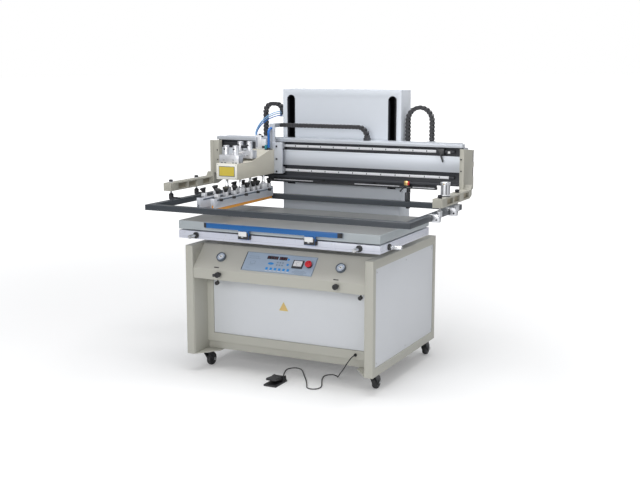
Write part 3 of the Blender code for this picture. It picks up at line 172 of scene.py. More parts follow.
def brushed_group():
    """Drawn or ground metal: long fine lines one way, with cloudy gloss."""
    tree, start, end, where = new_group("brushed", {"Colour": (0.7, 0.7, 0.7, 1.0), "Roughness": 0.3,
                                                    "Line Scale": (4.0, 500.0, 500.0), "Contrast": 0.12})
    stretch = node(tree, "ShaderNodeMapping")
    tree.links.new(where, stretch.inputs["Vector"])
    tree.links.new(start["Line Scale"], stretch.inputs["Scale"])
    lines = noise(tree, stretch.outputs[0], 1.0, 3.0, 0.6)
    cloud = noise(tree, where, 9.0, 4.0, 0.6)
    factor = total(tree, around(tree, lines, start["Contrast"]), around(tree, cloud, 0.08), 1.0)
    tree.links.new(shaded(tree, start["Colour"], factor), end["Colour"])
    rough = total(tree, around(tree, cloud, 0.22), around(tree, lines, 0.18), start["Roughness"])
    tree.links.new(rough, end["Roughness"])
    tree.links.new(lines, end["Height"])
    return tree


GROUPS = {}


def surface(name, group, values, metallic=0.0, bump=0.02, distance=0.0004, coat=0.0, specular=0.5):
    """A material whose colour, gloss and relief come from one of the shared groups."""
    made = bpy.data.materials.new(name)
    made.use_nodes = True
    tree = made.node_tree
    shader = tree.nodes["Principled BSDF"]
    shader.inputs["Metallic"].default_value = metallic
    shader.inputs["Coat Weight"].default_value = coat
    shader.inputs["Specular IOR Level"].default_value = specular
    effect = node(tree, "ShaderNodeGroup", node_tree=GROUPS[group])
    for key, value in values.items():
        effect.inputs[key].default_value = value
    relief = node(tree, "ShaderNodeBump")
    relief.inputs["Strength"].default_value = bump
    relief.inputs["Distance"].default_value = distance
    tree.links.new(effect.outputs["Colour"], shader.inputs["Base Color"])
    tree.links.new(effect.outputs["Roughness"], shader.inputs["Roughness"])
    tree.links.new(effect.outputs["Height"], relief.inputs["Height"])
    tree.links.new(relief.outputs[0], shader.inputs["Normal"])
    return made


def coated(name, colour, roughness, peel=700.0, edge=0.3, drift=0.05, bump=0.12, coat=0.0, metallic=0.0,
           smudge=1.0):
    values = {"Colour": (*colour, 1.0), "Roughness": roughness, "Peel Scale": peel, "Edge": edge,
              "Drift": drift, "Smudge": smudge}
    return surface(name, "coating", values, metallic, bump, 0.0004, coat)


def metal(name, colour, roughness, lines=(4.0, 500.0, 500.0), contrast=0.12, bump=0.06):
    values = {"Colour": (*colour, 1.0), "Roughness": roughness, "Line Scale": lines, "Contrast": contrast}
    return surface(name, "brushed", values, 1.0, bump, 0.0002)


# A coating is its colour, roughness, peel scale, edge wear, drift, bump, coat, metallic and smudge.
COATINGS = {
    "cream_paint": ((0.45, 0.445, 0.395), 0.42, 520.0, 0.12),
    # A lighter cream for the console slope: painted light, since the slope faces up to the light.
    "slope_painted_light": ((0.49, 0.48, 0.43), 0.4, 520.0, 0.12),
    "head_cream": ((0.53, 0.505, 0.43), 0.42, 520.0, 0.12),
    "cast_cream": ((0.385, 0.375, 0.325), 0.5, 260.0, 0.15, 0.06, 0.3),
    "white_panel": ((0.64, 0.66, 0.69), 0.5, 800.0, 0.1, 0.03, 0.08),
    "column_paint": ((0.61, 0.645, 0.695), 0.42, 620.0, 0.1, 0.04, 0.1),
    "slate_frame": ((0.042, 0.05, 0.06), 0.34, 300.0, 1.2, 0.15, 0.08, 0.2),
    "blue_paint": ((0.004, 0.11, 0.35), 0.36, 420.0, 0.25, 0.06, 0.1, 0.3),
    "black_steel": ((0.018, 0.019, 0.022), 0.4, 400.0, 2.0, 0.3, 0.15),
    # Black plastic parts; also used for the gauge slots as painted shade.
    "black_plastic": ((0.016, 0.016, 0.018), 0.42, 900.0, 1.5, 0.25, 0.25),
    # Black parts; also used as painted shade inside the column, at its slot sides and on the rail ends.
    "channel_black": ((0.022, 0.024, 0.03), 0.5, 300.0, 0.5, 0.3, 0.1),
    # Cast white parts; also used for the painted highlights along the cable trough's front.
    "cast_white": ((0.74, 0.75, 0.78), 0.36, 300.0, 0.2, 0.05, 0.15, 0.1, 0.25),
    "gauge_rim": ((0.075, 0.095, 0.12), 0.3, 500.0, 0.6, 0.05, 0.05, 0.4),
    # Darker brown painted inside the arm pockets as painted shade in the recesses.
    "pocket_painted_shade": ((0.37, 0.335, 0.26), 0.6, 300.0, 0.1, 0.05, 0.2),
    "holder_silver": ((0.6, 0.62, 0.67), 0.38, 300.0, 0.4, 0.05, 0.08, 0.0, 0.2),
    "beam_silver": ((0.46, 0.485, 0.525), 0.45, 300.0, 0.4, 0.04, 0.06, 0.0, 0.3, 0.4),
    "nose_white": ((0.82, 0.81, 0.74), 0.42, 600.0, 0.1, 0.03, 0.06),
    "air_blue": ((0.22, 0.42, 0.68), 0.22, 300.0, 0.1, 0.05, 0.05, 0.4),
    "table_sheet": ((0.345, 0.35, 0.345), 0.33, 900.0, 0.1, 0.02, 0.0, 0.0, 0.55, 0.0),
    "slab_edge": ((0.42, 0.46, 0.48), 0.4, 500.0, 0.2),
    "band_white": ((0.61, 0.63, 0.71), 0.3, 600.0, 0.15, 0.04, 0.05, 0.2),
    "band_line": ((0.4, 0.42, 0.48), 0.4, 600.0, 0.0, 0.04, 0.05),
    "membrane": ((0.33, 0.405, 0.505), 0.35, 900.0, 0.1, 0.03, 0.05),
    "panel_blue": ((0.02, 0.24, 0.62), 0.3, 900.0, 0.1, 0.03, 0.05),
    "panel_line": ((0.22, 0.28, 0.36), 0.4, 900.0, 0.0, 0.03, 0.05),
    "digit_red": ((0.3, 0.03, 0.03), 0.4, 900.0, 0.0, 0.03, 0.0),
    "display": ((0.015, 0.017, 0.022), 0.1, 900.0, 0.0, 0.05, 0.02, 0.5),
    "meter_white": ((0.8, 0.8, 0.8), 0.4, 900.0, 0.0, 0.02, 0.03),
    "dial_blue": ((0.56, 0.63, 0.74), 0.3, 900.0, 0.0, 0.03, 0.03),
    "stop_red": ((0.62, 0.012, 0.02), 0.26, 500.0, 0.2, 0.05, 0.05, 0.4),
    "yellow_plate": ((0.6, 0.47, 0.06), 0.38, 600.0, 0.1, 0.05, 0.05),
    "teal_fitting": ((0.02, 0.22, 0.26), 0.35, 600.0, 0.3),
    "blade_rubber": ((0.86, 0.38, 0.06), 0.4, 350.0, 0.3, 0.08, 0.15),
    "wheel_rubber": ((0.028, 0.028, 0.03), 0.62, 350.0, 0.8, 0.25, 0.4),
    "hose": ((0.012, 0.14, 0.5), 0.25, 300.0, 0.2, 0.08, 0.05, 0.4),
    "cord": ((0.03, 0.03, 0.032), 0.45, 700.0, 0.3, 0.15, 0.15),
}
# A metal is its colour, roughness, line scale, contrast and bump.
METALS = {
    "aluminium": ((0.8, 0.805, 0.83), 0.36),
    "cast_silver": ((0.78, 0.79, 0.82), 0.42, (60.0, 60.0, 60.0), 0.2, 0.2),
    "polished_steel": ((0.78, 0.79, 0.81), 0.18, (3.0, 300.0, 300.0), 0.06),
    "round_steel": ((0.76, 0.77, 0.79), 0.2, (300.0, 300.0, 8.0), 0.08),
    "zinc": ((0.62, 0.63, 0.64), 0.34, (90.0, 90.0, 90.0), 0.25, 0.15),
    "brass": ((0.72, 0.52, 0.22), 0.3, (200.0, 200.0, 200.0), 0.15, 0.1),
}
FINISH = {}


def make_finishes():
    """Every finish on the machine, by the name of its slot or of the piece it belongs to."""
    GROUPS["coating"] = coating_group()
    GROUPS["brushed"] = brushed_group()
    for name, row in COATINGS.items():
        FINISH[name] = coated(name, *row)
    for name, row in METALS.items():
        FINISH[name] = metal(name, *row)


# Modelling

def clear():
    if bpy.context.object and bpy.context.object.mode != "OBJECT":
        bpy.ops.object.mode_set(mode="OBJECT")
    bpy.ops.object.select_all(action="DESELECT")


def choose(*objects):
    clear()
    for each in objects:
        each.select_set(True)
    bpy.context.view_layer.objects.active = objects[0]
    return objects[0]


def settle(piece):
    choose(piece)
    bpy.ops.object.transform_apply(location=True, rotation=True, scale=True)
    return piece


def colour(piece, finish):
    piece.data.materials.clear()
    piece.data.materials.append(FINISH[finish])
    return piece


def put(x, y, z=0.0):
    return Matrix.Translation((x, y, z))


def spin(angle, axis="Z"):
    return Matrix.Rotation(radians(angle), 4, axis)


def node_box(name):
    """A node's low and high corners and its middle."""
    low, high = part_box(name)
    return low, high, (low + high) / 2


def axes(along, across, out, at):
    matrix = Matrix((along, across, out)).transposed().to_4x4()
    matrix.translation = at
    return matrix


def joined_mesh(parts):
    """Parts made one mesh, not yet a piece."""
    choose(*parts)
    bpy.ops.object.join()
    return bpy.context.active_object


def block(low, high, finish, edge=0.0, segments=2):
    """A box between two corners, its edges rounded."""
    low = Vector(low)
    high = Vector(high)
    clear()
    bpy.ops.mesh.primitive_cube_add(size=1.0, location=(low + high) / 2, scale=high - low)
    piece = settle(bpy.context.active_object)
    if edge:
        bpy.ops.object.mode_set(mode="EDIT")
        bpy.ops.mesh.select_all(action="SELECT")
        bpy.ops.mesh.bevel(offset=edge, segments=segments, profile=0.5, clamp_overlap=True)
        bpy.ops.object.mode_set(mode="OBJECT")
    return colour(piece, finish)


def blocks(*rows):
    return [block(*row) for row in rows]


def turned(rings, at, axis, finish, sides=24):
    """Rings of a radius and a height, drawn up one from the other and laid along an axis."""
    clear()
    radius, height = rings[0]
    bpy.ops.mesh.primitive_circle_add(vertices=sides, radius=radius, fill_type="NGON",
                                      location=(0, 0, height))
    piece = settle(bpy.context.active_object)
    bpy.ops.object.mode_set(mode="EDIT")
    bpy.ops.mesh.select_mode(type="FACE")
    bpy.ops.mesh.select_all(action="SELECT")
    last_radius, last_height = radius, height
    for radius, height in rings[1:]:
        move = {"value": (0, 0, height - last_height)}
        bpy.ops.mesh.extrude_region_move(TRANSFORM_OT_translate=move)
        share = radius / last_radius
        bpy.ops.transform.resize(value=(share, share, 1), center_override=(0, 0, height))
        last_radius, last_height = radius, height
    bpy.ops.mesh.select_all(action="SELECT")
    bpy.ops.mesh.normals_make_consistent(inside=False)
    bpy.ops.object.mode_set(mode="OBJECT")
    piece.rotation_euler = Vector(axis).to_track_quat("Z", "Y").to_euler()
    piece.location = at
    return colour(settle(piece), finish)


def scaled(shares, radius, reach=1.0):
    """Rings whose radii and heights are shares of a radius and a reach."""
    return [(radius * wide, reach * far) for wide, far in shares]


def rod(start, end, radius, finish, sides=24, edge=0.0):
    """A round bar between two points with its rims eased."""
    start = Vector(start)
    length = (Vector(end) - start).length
    ease = edge or radius * 0.12
    rings = [(radius - ease, 0.0), (radius, ease), (radius, length - ease), (radius - ease, length)]
    return turned(rings, start, Vector(end) - start, finish, sides)


def copied(piece, *shifts):
    """Copies of a piece, each with its own mesh, moved by each shift."""
    made = []
    for shift in shifts:
        again = bpy.data.objects.new(piece.name, piece.data.copy())
        bpy.context.scene.collection.objects.link(again)
        matrix = shift if isinstance(shift, Matrix) else Matrix.Translation(shift)
        again.data.transform(matrix)
        made.append(again)
    return made


def spread(piece, places):
    """Copies at each place, in place of the piece itself."""
    made = copied(piece, *places)
    bpy.data.objects.remove(piece, do_unlink=True)
    return made


def moved(piece, matrix):
    piece.data.transform(matrix)
    return piece


def joined(name, parts, body, smooth=32.0):
    """Parts made one named piece that moves with a body."""
    piece = choose(*parts)
    if len(parts) > 1:
        bpy.ops.object.join()
    piece = bpy.context.active_object
    piece.name = name
    piece.data.name = name
    bpy.ops.object.shade_smooth_by_angle(angle=radians(smooth))
    if body:
        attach(piece, body)
    return piece


def screw(at, axis, radius, finish="black_steel", height=None, sides=12):
    """A socket-head screw."""
    rise = height or radius
    rings = [(radius, 0.0), (radius, rise * 0.8), (radius * 0.86, rise), (radius * 0.5, rise),
             (radius * 0.46, rise * 0.35)]
    return turned(rings, at, axis, finish, sides)


def screws(places, axis, radius, finish="zinc", height=None):
    return [screw(place, axis, radius, finish, height) for place in places]


def finished(name, finish, width=0.0012, segments=2, angle=32.0):
    """A node's shape with its edges rounded, standing for the node."""
    source = frame["nodes"][name]
    piece = bpy.data.objects.new(name + "_finished", source.data.copy())
    bpy.context.scene.collection.objects.link(piece)
    choose(piece)
    bpy.ops.object.mode_set(mode="EDIT")
    bpy.ops.mesh.select_all(action="SELECT")
    bpy.ops.mesh.remove_doubles(threshold=0.00002)
    bpy.ops.mesh.dissolve_limited(angle_limit=radians(0.8))
    bpy.ops.object.mode_set(mode="OBJECT")
    if width:
        soft = piece.modifiers.new("edges", "BEVEL")
        soft.width = width
        soft.segments = segments
        soft.limit_method = "ANGLE"
        soft.angle_limit = radians(angle)
        bpy.ops.object.modifier_apply(modifier="edges")
    bpy.ops.object.shade_smooth_by_angle(angle=radians(angle))
    colour(piece, finish)
    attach(piece, BODY_OF[name])
    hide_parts(name)
    return piece


def paint_faces(piece, finish, picked):
    """Gives a second finish to the faces that a test picks."""
    piece.data.materials.append(FINISH[finish])
    index = len(piece.data.materials) - 1
    for face in piece.data.polygons:
        if picked(face):
            face.material_index = index


# Cords

CORD_RADIUS = 0.003
CORD_LOW = CORD_RADIUS + 0.0004
RECESS_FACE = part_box("cord_gland")[1].y - FRONT + SEAT
PEDAL_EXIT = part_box("pedal_base")[1].y - FRONT + SEAT
PEDAL_ROUTE = [(0.403, RECESS_FACE - 0.02, 0.177), (0.403, RECESS_FACE - 0.026, 0.177),
               (0.403, RECESS_FACE - 0.032, 0.177), (0.4015, RECESS_FACE - 0.053, 0.1725),
               (0.393, RECESS_FACE - 0.069, 0.156), (0.375, RECESS_FACE - 0.067, 0.129),
               (0.352, RECESS_FACE - 0.046, 0.101), (0.324, RECESS_FACE - 0.014, 0.073),
               (0.297, RECESS_FACE + 0.024, 0.046), (0.272, RECESS_FACE + 0.064, 0.023),
               (0.252, RECESS_FACE + 0.1, 0.0085), (0.232, RECESS_FACE + 0.13, 0.0036),
               (0.204, RECESS_FACE + 0.142, 0.0034), (0.179, RECESS_FACE + 0.126, 0.0034),
               (0.172, RECESS_FACE + 0.096, 0.0034), (0.185, 0.184, 0.0034), (0.21, 0.128, 0.0034),
               (0.234, 0.078, 0.0034), (0.244, 0.042, 0.0034), (0.236, 0.011, 0.0034),
               (0.209, -0.003, 0.0034), (0.18, 0.011, 0.0034), (0.16, 0.048, 0.0034), (0.122, 0.116, 0.0034),
               (0.076, 0.186, 0.0034), (0.034, 0.25, 0.0034), (0.004, 0.29, 0.0034), (-0.026, 0.308, 0.0034),
               (-0.056, 0.3, 0.0034), (-0.071, 0.272, 0.0034), (-0.067, 0.234, 0.0034),
               (-0.048, 0.18, 0.0036), (-0.029, 0.138, 0.0054), (-0.018, 0.11, 0.0074),
               (-0.016, PEDAL_EXIT + 0.012, 0.008), (-0.016, PEDAL_EXIT + 0.006, 0.008),
               (-0.016, PEDAL_EXIT, 0.008)]
HEAD_HOSE_RADIUS = 0.0075
HEAD_HOSE_X = -0.378
HEAD_HOSE_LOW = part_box("head_housing")[1].z + SEAT
HEAD_HOSE_TOP = HEAD_HOSE_LOW + 0.1237
HEAD_HOSE_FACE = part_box("carriage_plate")[0].y - FRONT + 0.0007
HEAD_HOSE_Y = HEAD_HOSE_FACE - 0.0337
HEAD_HOSE_ROUTE = [(HEAD_HOSE_X, HEAD_HOSE_Y, HEAD_HOSE_LOW + rise) for rise in (0.0, 0.01, 0.02, 0.06)]
HEAD_HOSE_ROUTE += [(HEAD_HOSE_X, HEAD_HOSE_Y + slide, HEAD_HOSE_TOP - drop) for slide, drop in
                    ((0.0, 0.0257), (0.0034, 0.0128), (0.0128, 0.0034), (0.0257, 0.0))]
HEAD_HOSE_ROUTE += [(HEAD_HOSE_X, HEAD_HOSE_FACE - gap, HEAD_HOSE_TOP) for gap in (0.004, 0.0)]
AIR_RADIUS = 0.003
AIR_LINES = (("beam_air_line", 0.0, 0.0, "air_blue"), ("upper_air_line", 0.011, -0.0075, "air_blue"),
             ("lower_air_line", -0.013, 0.0075, "hose"))
AIR_X = -0.409
AIR_Z = 1.402
AIR_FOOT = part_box("beam")[1].z + SEAT
AIR_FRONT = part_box("left_lift_chain")[0].y - FRONT - SEAT
AIR_FOOT_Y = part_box("upper_rail")[0].y - FRONT + 0.0793
AIR_HOSE_ROUTE = [(AIR_X, AIR_FRONT, AIR_Z), (AIR_X, AIR_FRONT - 0.005, AIR_Z),
                  (AIR_X, AIR_FRONT - 0.01, AIR_Z), (AIR_X - 0.01, 0.812, AIR_Z - 0.002),
                  (AIR_X - 0.034, 0.802, AIR_Z - 0.01), (AIR_X - 0.07, 0.795, AIR_Z - 0.028),
                  (AIR_X - 0.105, 0.789, AIR_Z - 0.056), (AIR_X - 0.13, AIR_FOOT_Y + 0.001, AIR_Z - 0.088),
                  (AIR_X - 0.143, AIR_FOOT_Y, AIR_FOOT + 0.024),
                  (AIR_X - 0.143, AIR_FOOT_Y, AIR_FOOT + 0.012), (AIR_X - 0.143, AIR_FOOT_Y, AIR_FOOT)]


def smooth_route(points, step):
    """Points about one step apart along a smooth curve through the route's own points."""
    found = []
    last = len(points) - 1
    for i in range(last):
        before = Vector(points[max(i - 1, 0)])
        start = Vector(points[i])
        end = Vector(points[i + 1])
        after = Vector(points[min(i + 2, last)])
        count = max(1, round((end - start).length / step))
        for j in range(count):
            t = j / count
            a = 2 * start
            b = (end - before) * t
            c = (2 * before - 5 * start + 4 * end - after) * t * t
            d = (3 * start - before - 3 * end + after) * t ** 3
            found.append((a + b + c + d) / 2)
    found.append(Vector(points[-1]))
    return found


def cord_curve(name, route, step, radius, finish, lowest=0.0):
    """A round cord along a route whose y is counted from the base's front."""
    points = [Vector((x, y + FRONT, max(z, lowest))) for x, y, z in smooth_route(route, step)]
    curve = bpy.data.curves.new(name, "CURVE")
    curve.dimensions = "3D"
    curve.bevel_depth = radius
    curve.bevel_resolution = 4
    curve.use_fill_caps = True
    spline = curve.splines.new("POLY")
    spline.points.add(len(points) - 1)
    for point, at in zip(spline.points, points):
        point.co = (*at, 1.0)
    spline.use_smooth = True
    piece = bpy.data.objects.new(name, curve)
    bpy.context.scene.collection.objects.link(piece)
    curve.materials.append(FINISH[finish])
    length = sum((b - a).length for a, b in zip(points, points[1:]))
    return piece, points, length


def cords():
    pedal, points, length = cord_curve("pedal_lead", PEDAL_ROUTE, 0.01, CORD_RADIUS, "cord", CORD_LOW)
    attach(pedal, "base")
    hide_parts("pedal_cord")
    low, high, middle = node_box("cord_gland")
    radius = (high.x - low.x) / 2
    reach = high.y - low.y
    rings = [(1.0, 0.0), (1.0, 0.2), (0.8, 0.22), (0.75, 0.4), (0.78, 0.42), (0.62, 0.6), (0.66, 0.62),
             (0.5, 0.8), (0.54, 0.82), (0.42, 1.0)]
    gland = turned(scaled(rings, radius, reach), (middle.x, high.y, middle.z), FORWARD, "black_plastic")
    gland = joined("lead_gland", [gland], "base")
    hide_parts("cord_gland")
    hose, points, length = cord_curve("head_air_hose", HEAD_HOSE_ROUTE, 0.008, HEAD_HOSE_RADIUS, "hose")
    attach(hose, BODY_OF["head_hose"])
    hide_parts("head_hose")
    for name, rise, slide, finish in AIR_LINES:
        air_line(name, rise, slide, finish)


def air_line(name, rise, slide, finish):
    """One air line from the lift chain down to the beam."""
    route = []
    for x, y, z in AIR_HOSE_ROUTE:
        share = max(0.0, (z - AIR_FOOT) / (AIR_Z - AIR_FOOT))
        route.append((x, y + slide * 0.9, z + rise * share))
    line, points, length = cord_curve(name, route, 0.006, AIR_RADIUS, finish)
    choose(line)
    bpy.ops.object.convert(target="MESH")
    line = bpy.context.active_object
    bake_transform(line)
    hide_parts("air_hose")


# Stage and light

def stage():
    clear()
    bpy.ops.mesh.primitive_plane_add(size=160.0, location=(0, 60.0, 0))
    floor = settle(bpy.context.active_object)
    floor.name = "floor"
    paper = bpy.data.materials.new("floor_paper")
    paper.use_nodes = True
    tree = paper.node_tree
    shader = tree.nodes["Principled BSDF"]
    shader.inputs["Base Color"].default_value = (0.84, 0.84, 0.84, 1.0)
    shader.inputs["Roughness"].default_value = 0.95
    shader.inputs["Specular IOR Level"].default_value = 0.05
    shader.inputs["Emission Color"].default_value = (1, 1, 1, 1)
    path = node(tree, "ShaderNodeLightPath")
    where = node(tree, "ShaderNodeTexCoord")
    reach = node(tree, "ShaderNodeVectorMath", operation="LENGTH")
    tree.links.new(where.outputs["Object"], reach.inputs[0])
    fade = node(tree, "ShaderNodeMapRange")
    for key, value in (("From Min", 1.3), ("From Max", 7.0), ("To Min", 0.16), ("To Max", 1.0)):
        fade.inputs[key].default_value = value
    tree.links.new(reach.outputs["Value"], fade.inputs["Value"])
    lift = sum_up(tree, "MULTIPLY", path.outputs["Is Camera Ray"], fade.outputs[0])
    tree.links.new(lift, shader.inputs["Emission Strength"])
    floor.data.materials.append(paper)
    world = bpy.data.worlds.new("studio")
    world.use_nodes = True
    tree = world.node_tree
    plain = tree.nodes["Background"]
    plain.inputs["Color"].default_value = (0.95, 0.965, 1.0, 1.0)
    plain.inputs["Strength"].default_value = 0.33
    seen = node(tree, "ShaderNodeBackground")
    seen.inputs["Color"].default_value = (1, 1, 1, 1)
    seen.inputs["Strength"].default_value = 1.0
    path = node(tree, "ShaderNodeLightPath")
    clear_ray = sum_up(tree, "MAXIMUM", path.outputs["Is Camera Ray"], path.outputs["Is Transmission Ray"])
    choice = node(tree, "ShaderNodeMixShader")
    tree.links.new(clear_ray, choice.inputs[0])
    tree.links.new(plain.outputs[0], choice.inputs[1])
    tree.links.new(seen.outputs[0], choice.inputs[2])
    tree.links.new(choice.outputs[0], tree.nodes["World Output"].inputs["Surface"])
    bpy.context.scene.world = world
    bpy.context.scene.view_settings.view_transform = "Standard"


def lamp(name, place, aim, size, power):
    light = bpy.data.lights.new(name, "AREA")
    light.shape = "RECTANGLE"
    light.size = size[0]
    light.size_y = size[1]
    light.energy = power
    made = bpy.data.objects.new(name, light)
    made.location = place
    made.rotation_euler = (Vector(aim) - Vector(place)).to_track_quat("-Z", "Y").to_euler()
    bpy.context.scene.collection.objects.link(made)


def lights():
    lamp("key", (0.3, -4.7, 2.1), (0, 0, 0.7), (2.4, 1.6), 78.0)
    lamp("side", (4.0, -0.2, 2.2), (0, 0, 0.5), (1.8, 1.8), 24.0)
    lamp("left_fill", (-3.6, -2.6, 2.0), (0, 0, 0.7), (2.4, 2.4), 10.0)
    lamp("top", (0.1, -0.5, 4.0), (0, 0, 0.5), (3.0, 2.4), 98.0)
    lamp("back", (1.6, 3.6, 2.6), (0, 0, 0.9), (2.4, 2.0), 30.0)


# Base cabinet

def slope_place():
    """The console slope's own axes: x along the machine, y up the slope, z out of it."""
    panel = frame["nodes"]["control_panel"].data
    middle = sum((point.co for point in panel.vertices), Vector()) / len(panel.vertices)
    out = max(panel.polygons, key=lambda face: face.area).normal.copy()
    if out.z < 0:
        out = -out
    across = Vector((1, 0, 0))
    return axes(across, out.cross(across), out, Vector((0, middle.y, middle.z)))


def on_slope(name, slope):
    """A node's corners in the slope's own axes."""
    local = slope.inverted()
    points = [local @ vertex.co for vertex in frame["nodes"][name].data.vertices]
    low = Vector([min(point[i] for point in points) for i in range(3)])
    high = Vector([max(point[i] for point in points) for i in range(3)])
    return points, low, high


PANEL_HALF = 0.05875
PANEL_FACE = 0.002
PANEL_LINES = ((0.05, 0.034, 0.056, 0.0014), (0.056, 0.02, 0.076, 0.0014), (0.03, 0.027, 0.0014, 0.014),
               (0.078, 0.027, 0.0014, 0.014), (0.054, 0.027, 0.03, 0.001), (0.042, -0.006, 0.0014, 0.018),
               (0.055, -0.015, 0.028, 0.0014), (0.06, 0.003, 0.02, 0.0014), (0.069, -0.006, 0.0014, 0.018),
               (0.05, -0.024, 0.026, 0.0012), (0.034, -0.04, 0.018, 0.0012))


def plate_on_panel(x, y, wide, high, finish, thick=0.0008, edge=0.0003, base=PANEL_FACE):
    low = (x - wide / 2, y - high / 2, base)
    return block(low, (x + wide / 2, y + high / 2, base + thick), finish, edge, 1)


def control_panel(slope):
    """The membrane sheet with its frame, keys, displays, meter and drawings."""
    finished("control_panel", "membrane", 0.0006, 1)
    low, high, centre = node_box("control_panel")
    left, right, middle = low.x, high.x, centre.x
    wide = right - left
    tall = 2 * PANEL_HALF
    rows = [(left + 0.002, 0, 0.004, tall, "channel_black", 0.0012),
            (right - 0.0009, 0, 0.0018, tall, "panel_line"),
            (middle, PANEL_HALF - 0.0014, wide, 0.0028, "panel_line", 0.0011),
            (middle, -PANEL_HALF + 0.0008, wide, 0.0016, "panel_line")]
    rows += [(left + x, y, w, h, "panel_line", 0.0004, 0.0) for x, y, w, h in PANEL_LINES]
    for x, w, count in ((-0.054, 0.066, 4), (0.009, 0.046, 3)):
        rows.append((x, 0.033, w, 0.02, "display", 0.0012))
        for i in range(count):
            at = x - w / 2 + w * (i + 0.5) / count
            for rise in (-0.005, 0.0, 0.005):
                rows.append((at, 0.033 + rise, 0.0056, 0.0009, "digit_red", 0.0014, 0.0))
            for side in (-0.0031, 0.0031):
                rows.append((at + side, 0.0355, 0.0008, 0.0042, "digit_red", 0.0014, 0.0))
    for x in (-0.016, 0.0, 0.016):
        rows += [(x, y, 0.01, 0.0085, "panel_line", 0.001) for y in (0.006, -0.01)]
    rows += [(x, y, 0.012, 0.012, "panel_blue", 0.0012) for x, y in ((0.042, 0.03), (0.047, -0.003))]
    for i in range(6):
        x = -0.068 + i * 0.0256
        rows.append((x, -0.037, 0.014, 0.015, "panel_blue", 0.0012))
        rows.append((x, -0.0485, 0.014, 0.002, "meter_white", 0.0005, 0.0))
    for y, w in ((-0.034, 0.06), (-0.04, 0.088), (-0.046, 0.084), (-0.052, 0.056)):
        rows.append((0.128, y, w, 0.002, "panel_line", 0.0004, 0.0))
    parts = [plate_on_panel(*row) for row in rows] + [oval_key(-0.054, -0.004)] + meter(0.106, 0.004)
    corners = [(x, y, PANEL_FACE) for x in (left + 0.011, right - 0.008) for y in (-0.051, 0.05)]
    parts += screws(corners, UP, 0.0026, "zinc", 0.0014)
    moved(joined("panel_controls", parts, "base"), slope)


def oval_key(x, y):
    key = turned([(0.008, 0.0), (0.008, 0.0009), (0.0072, 0.0013)], (0, 0, PANEL_FACE), UP, "panel_blue")
    return moved(key, put(x, y) @ Matrix.Diagonal((2.2, 0.9, 1.0, 1.0)))


def meter(x, y):
    """The framed white meter with its needle and scale."""
    parts = [plate_on_panel(x, y, 0.062, 0.05, "black_plastic", 0.006, 0.0012),
             plate_on_panel(x, y + 0.003, 0.048, 0.034, "meter_white", 0.0066, 0.0004)]
    face = PANEL_FACE + 0.0066
    centre = put(x, y - 0.01)
    needle = block((-0.0004, 0.0, face), (0.0004, 0.02, face + 0.0004), "black_plastic")
    mark = block((-0.0003, 0.02, face), (0.0003, 0.023, face + 0.0003), "black_plastic")
    parts.append(moved(needle, centre @ spin(28)))
    return parts + spread(mark, [centre @ spin(-44 + i * 11) for i in range(9)])


def dial_number(text, x, y, height, base):
    """One plain figure of a dial, raised and flat, made a mesh."""
    clear()
    bpy.ops.object.text_add(location=(0, 0, 0))
    word = bpy.context.active_object
    word.data.body = text
    word.data.size = height
    word.data.align_x = "CENTER"
    word.data.align_y = "CENTER"
    word.data.extrude = 0.0001
    word.data.resolution_u = 3
    bpy.ops.object.convert(target="MESH")
    word = bpy.context.active_object
    moved(word, put(x, y, base + 0.0001))
    return colour(word, "black_plastic")


def gauge(name, slope):
    """A pressure gauge: steel bezel, pale dial with plain figures, needle and hub."""
    low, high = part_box(name)
    radius = (high.x - low.x) / 2
    points, inner, outer = on_slope(name, slope)
    middle_x = sum(point.x for point in points) / len(points)
    base, top = inner.z, outer.z
    face = top - 0.0045
    rim = [(radius * 0.93, base), (radius, base + 0.001), (radius, top - 0.003), (radius * 0.95, top),
           (radius * 0.86, top), (radius * 0.8, top - 0.004), (radius * 0.79, face)]
    dial = [(radius * 0.79, face - 0.0005), (radius * 0.79, face + 0.0002)]
    centre = [(radius * 0.42, face), (radius * 0.42, face + 0.0004)]
    hub = [(0.0028, face), (0.0028, face + 0.002), (0.002, face + 0.0026)]
    sets = ((rim, "gauge_rim", 48), (dial, "dial_blue", 48), (centre, "meter_white", 40),
            (hub, "black_plastic", 20))
    parts = [turned(rings, ORIGIN, UP, finish, sides) for rings, finish, sides in sets]
    for i in range(21):
        start = radius * (0.64 if i % 4 == 0 else 0.7)
        mark = block((start, -0.0003, face), (radius * 0.76, 0.0003, face + 0.0005), "black_plastic")
        parts.append(moved(mark, spin(225 - i * 13.5)))
    for i in range(6):
        x, y, _ = spin(225 - i * 54) @ Vector((radius * 0.54, 0, 0))
        parts.append(dial_number(str(i * 2), x, y, radius * 0.2, face + 0.0004))
    needle = block((-radius * 0.16, -0.0006, face + 0.0008), (radius * 0.66, 0.0006, face + 0.0014),
                   "gauge_rim", 0.0002)
    parts.append(moved(needle, spin(150)))
    piece = joined(name + "_dial", parts, "base")
    moved(piece, slope @ put(middle_x, (inner.y + outer.y) / 2))
    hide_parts(name)


def emergency_stop(slope):
    """The red mushroom on its collar, with three marks on its top."""
    _, low, high = on_slope("emergency_stop", slope)
    base, top = low.z, high.z
    rise = top - base
    collar = turned([(0.0165, base), (0.0165, base + 0.003), (0.0125, base + 0.004),
                     (0.012, base + rise * 0.5)], ORIGIN, UP, "black_plastic", 32)
    shares = ((0.0125, 0.45), (0.018, 0.5), (0.019, 0.6), (0.019, 0.78), (0.0178, 0.9), (0.014, 0.97),
              (0.006, 1.0))
    cap = turned([(radius, base + rise * far) for radius, far in shares], ORIGIN, UP, "stop_red", 40)
    arrow = block((0.006, -0.0009, top - 0.0022), (0.013, 0.0009, top - 0.0012), "meter_white", 0.0003)
    parts = [collar, cap] + spread(arrow, [spin(angle) for angle in (30, 150, 270)])
    piece = joined("stop_button", parts, "base")
    moved(piece, slope @ put((low.x + high.x) / 2, (low.y + high.y) / 2))
    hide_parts("emergency_stop")


